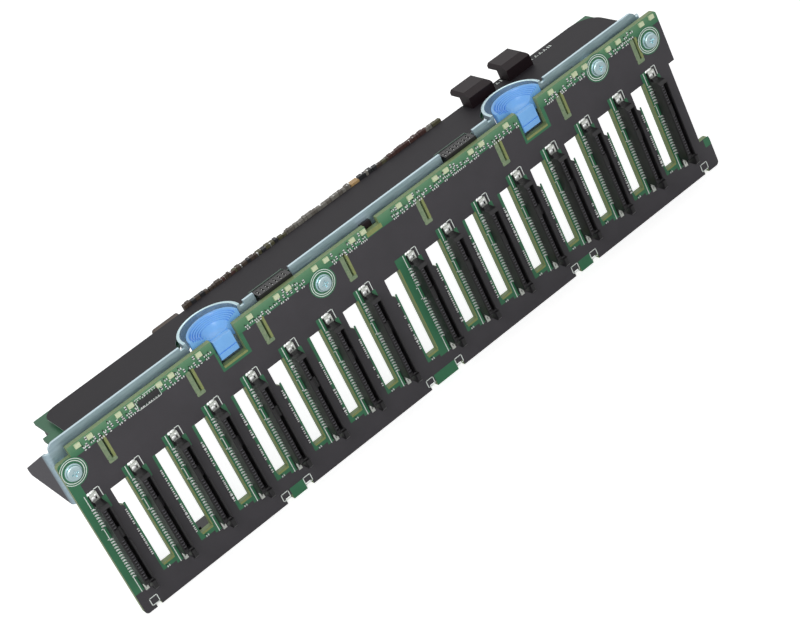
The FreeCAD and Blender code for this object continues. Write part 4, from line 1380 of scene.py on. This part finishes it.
# %% Camera
lens_mm = 97.8
camera_data = bpy.data.cameras.new("camera")
camera_data.lens = lens_mm
camera_data.sensor_width = 36
camera = bpy.data.objects.new("camera", camera_data)
bpy.context.scene.collection.objects.link(camera)
camera_place = Vector((-276.5, -662.9, 426.5)) * mm
camera_target = Vector((-4.8, 0, 36.5)) * mm
camera_roll = math.radians(-26.44)
aim = (camera_target - camera_place).to_track_quat("-Z", "Y")
camera.matrix_world = (Matrix.Translation(camera_place) @ aim.to_matrix().to_4x4()
                       @ Matrix.Rotation(camera_roll, 4, "Z"))
bpy.context.scene.camera = camera
print("camera distance in mm:", round((camera_target - camera_place).length / mm))

# %% [markdown]
# The floor catches the board's shadow. A little glow, which only the camera sees, brings the rest
# of it close to white and puts no more light on the board.

# %% Floor
floor_size = 6.0
floor_lift = 0.6
bpy.ops.mesh.primitive_plane_add(size=floor_size, location=(0, 0, 0))
floor = bpy.context.object
floor.name = "floor"
floor_material, tree, shader = new_finish("plain_white_floor", Roughness=0.9)
shader.inputs["Base Color"].default_value = linear("#f2f2f2")
camera_ray = add_node(tree, "ShaderNodeLightPath").outputs["Is Camera Ray"]
lift = add_node(tree, "ShaderNodeMath", {0: camera_ray, 1: floor_lift}, operation="MULTIPLY")
shader.inputs["Emission Color"].default_value = (1, 1, 1, 1)
tree.links.new(lift.outputs[0], shader.inputs["Emission Strength"])
floor.data.materials.append(floor_material)
print("floor:", floor_size, "m wide")

# %% [markdown]
# To the camera, to mirrors and through glass the surroundings look white, while they light the
# board with less than half of that, so a pale background costs no contrast on the board itself.

# %% World
ambient_strength = 0.45
seen_strength = 1.0
world = bpy.data.worlds.new("studio")
bpy.context.scene.world = world
world.use_nodes = True
tree = world.node_tree
background = tree.nodes["Background"]
background.inputs["Color"].default_value = (1, 1, 1, 1)
rays = add_node(tree, "ShaderNodeLightPath")
seen = add_node(tree, "ShaderNodeMath",
                {0: rays.outputs["Is Camera Ray"], 1: rays.outputs["Is Glossy Ray"]},
                operation="MAXIMUM")
seen_or_through = add_node(tree, "ShaderNodeMath",
                           {0: seen.outputs[0], 1: rays.outputs["Is Transmission Ray"]},
                           operation="MAXIMUM")
strength = add_node(tree, "ShaderNodeMapRange",
                    {"Value": seen_or_through.outputs[0], "To Min": ambient_strength,
                     "To Max": seen_strength})
tree.links.new(strength.outputs["Result"], background.inputs["Strength"])
print("surroundings light the board at", ambient_strength)

# %% Lamps
lamp_size = 0.5
lit_point = Vector((0, 0, 0.04))


def soft_lamp(name, place, power):
    """A square lamp that faces the middle of the board."""
    data = bpy.data.lights.new(name, "AREA")
    data.energy = power
    data.size = lamp_size
    lamp = bpy.data.objects.new(name, data)
    bpy.context.scene.collection.objects.link(lamp)
    lamp.location = place
    lamp.rotation_euler = (lit_point - Vector(place)).to_track_quat("-Z", "Y").to_euler()


soft_lamp("key_lamp", (-0.55, -0.8, 0.7), 5.0)
soft_lamp("top_lamp", (0.3, 0.5, 1.0), 1.2)
print("lamps:", len(bpy.data.lights))

# %% [markdown]
# Last, the view transform is set to Standard, so colours show as written.

# %% View transform
bpy.context.scene.view_settings.view_transform = "Standard"
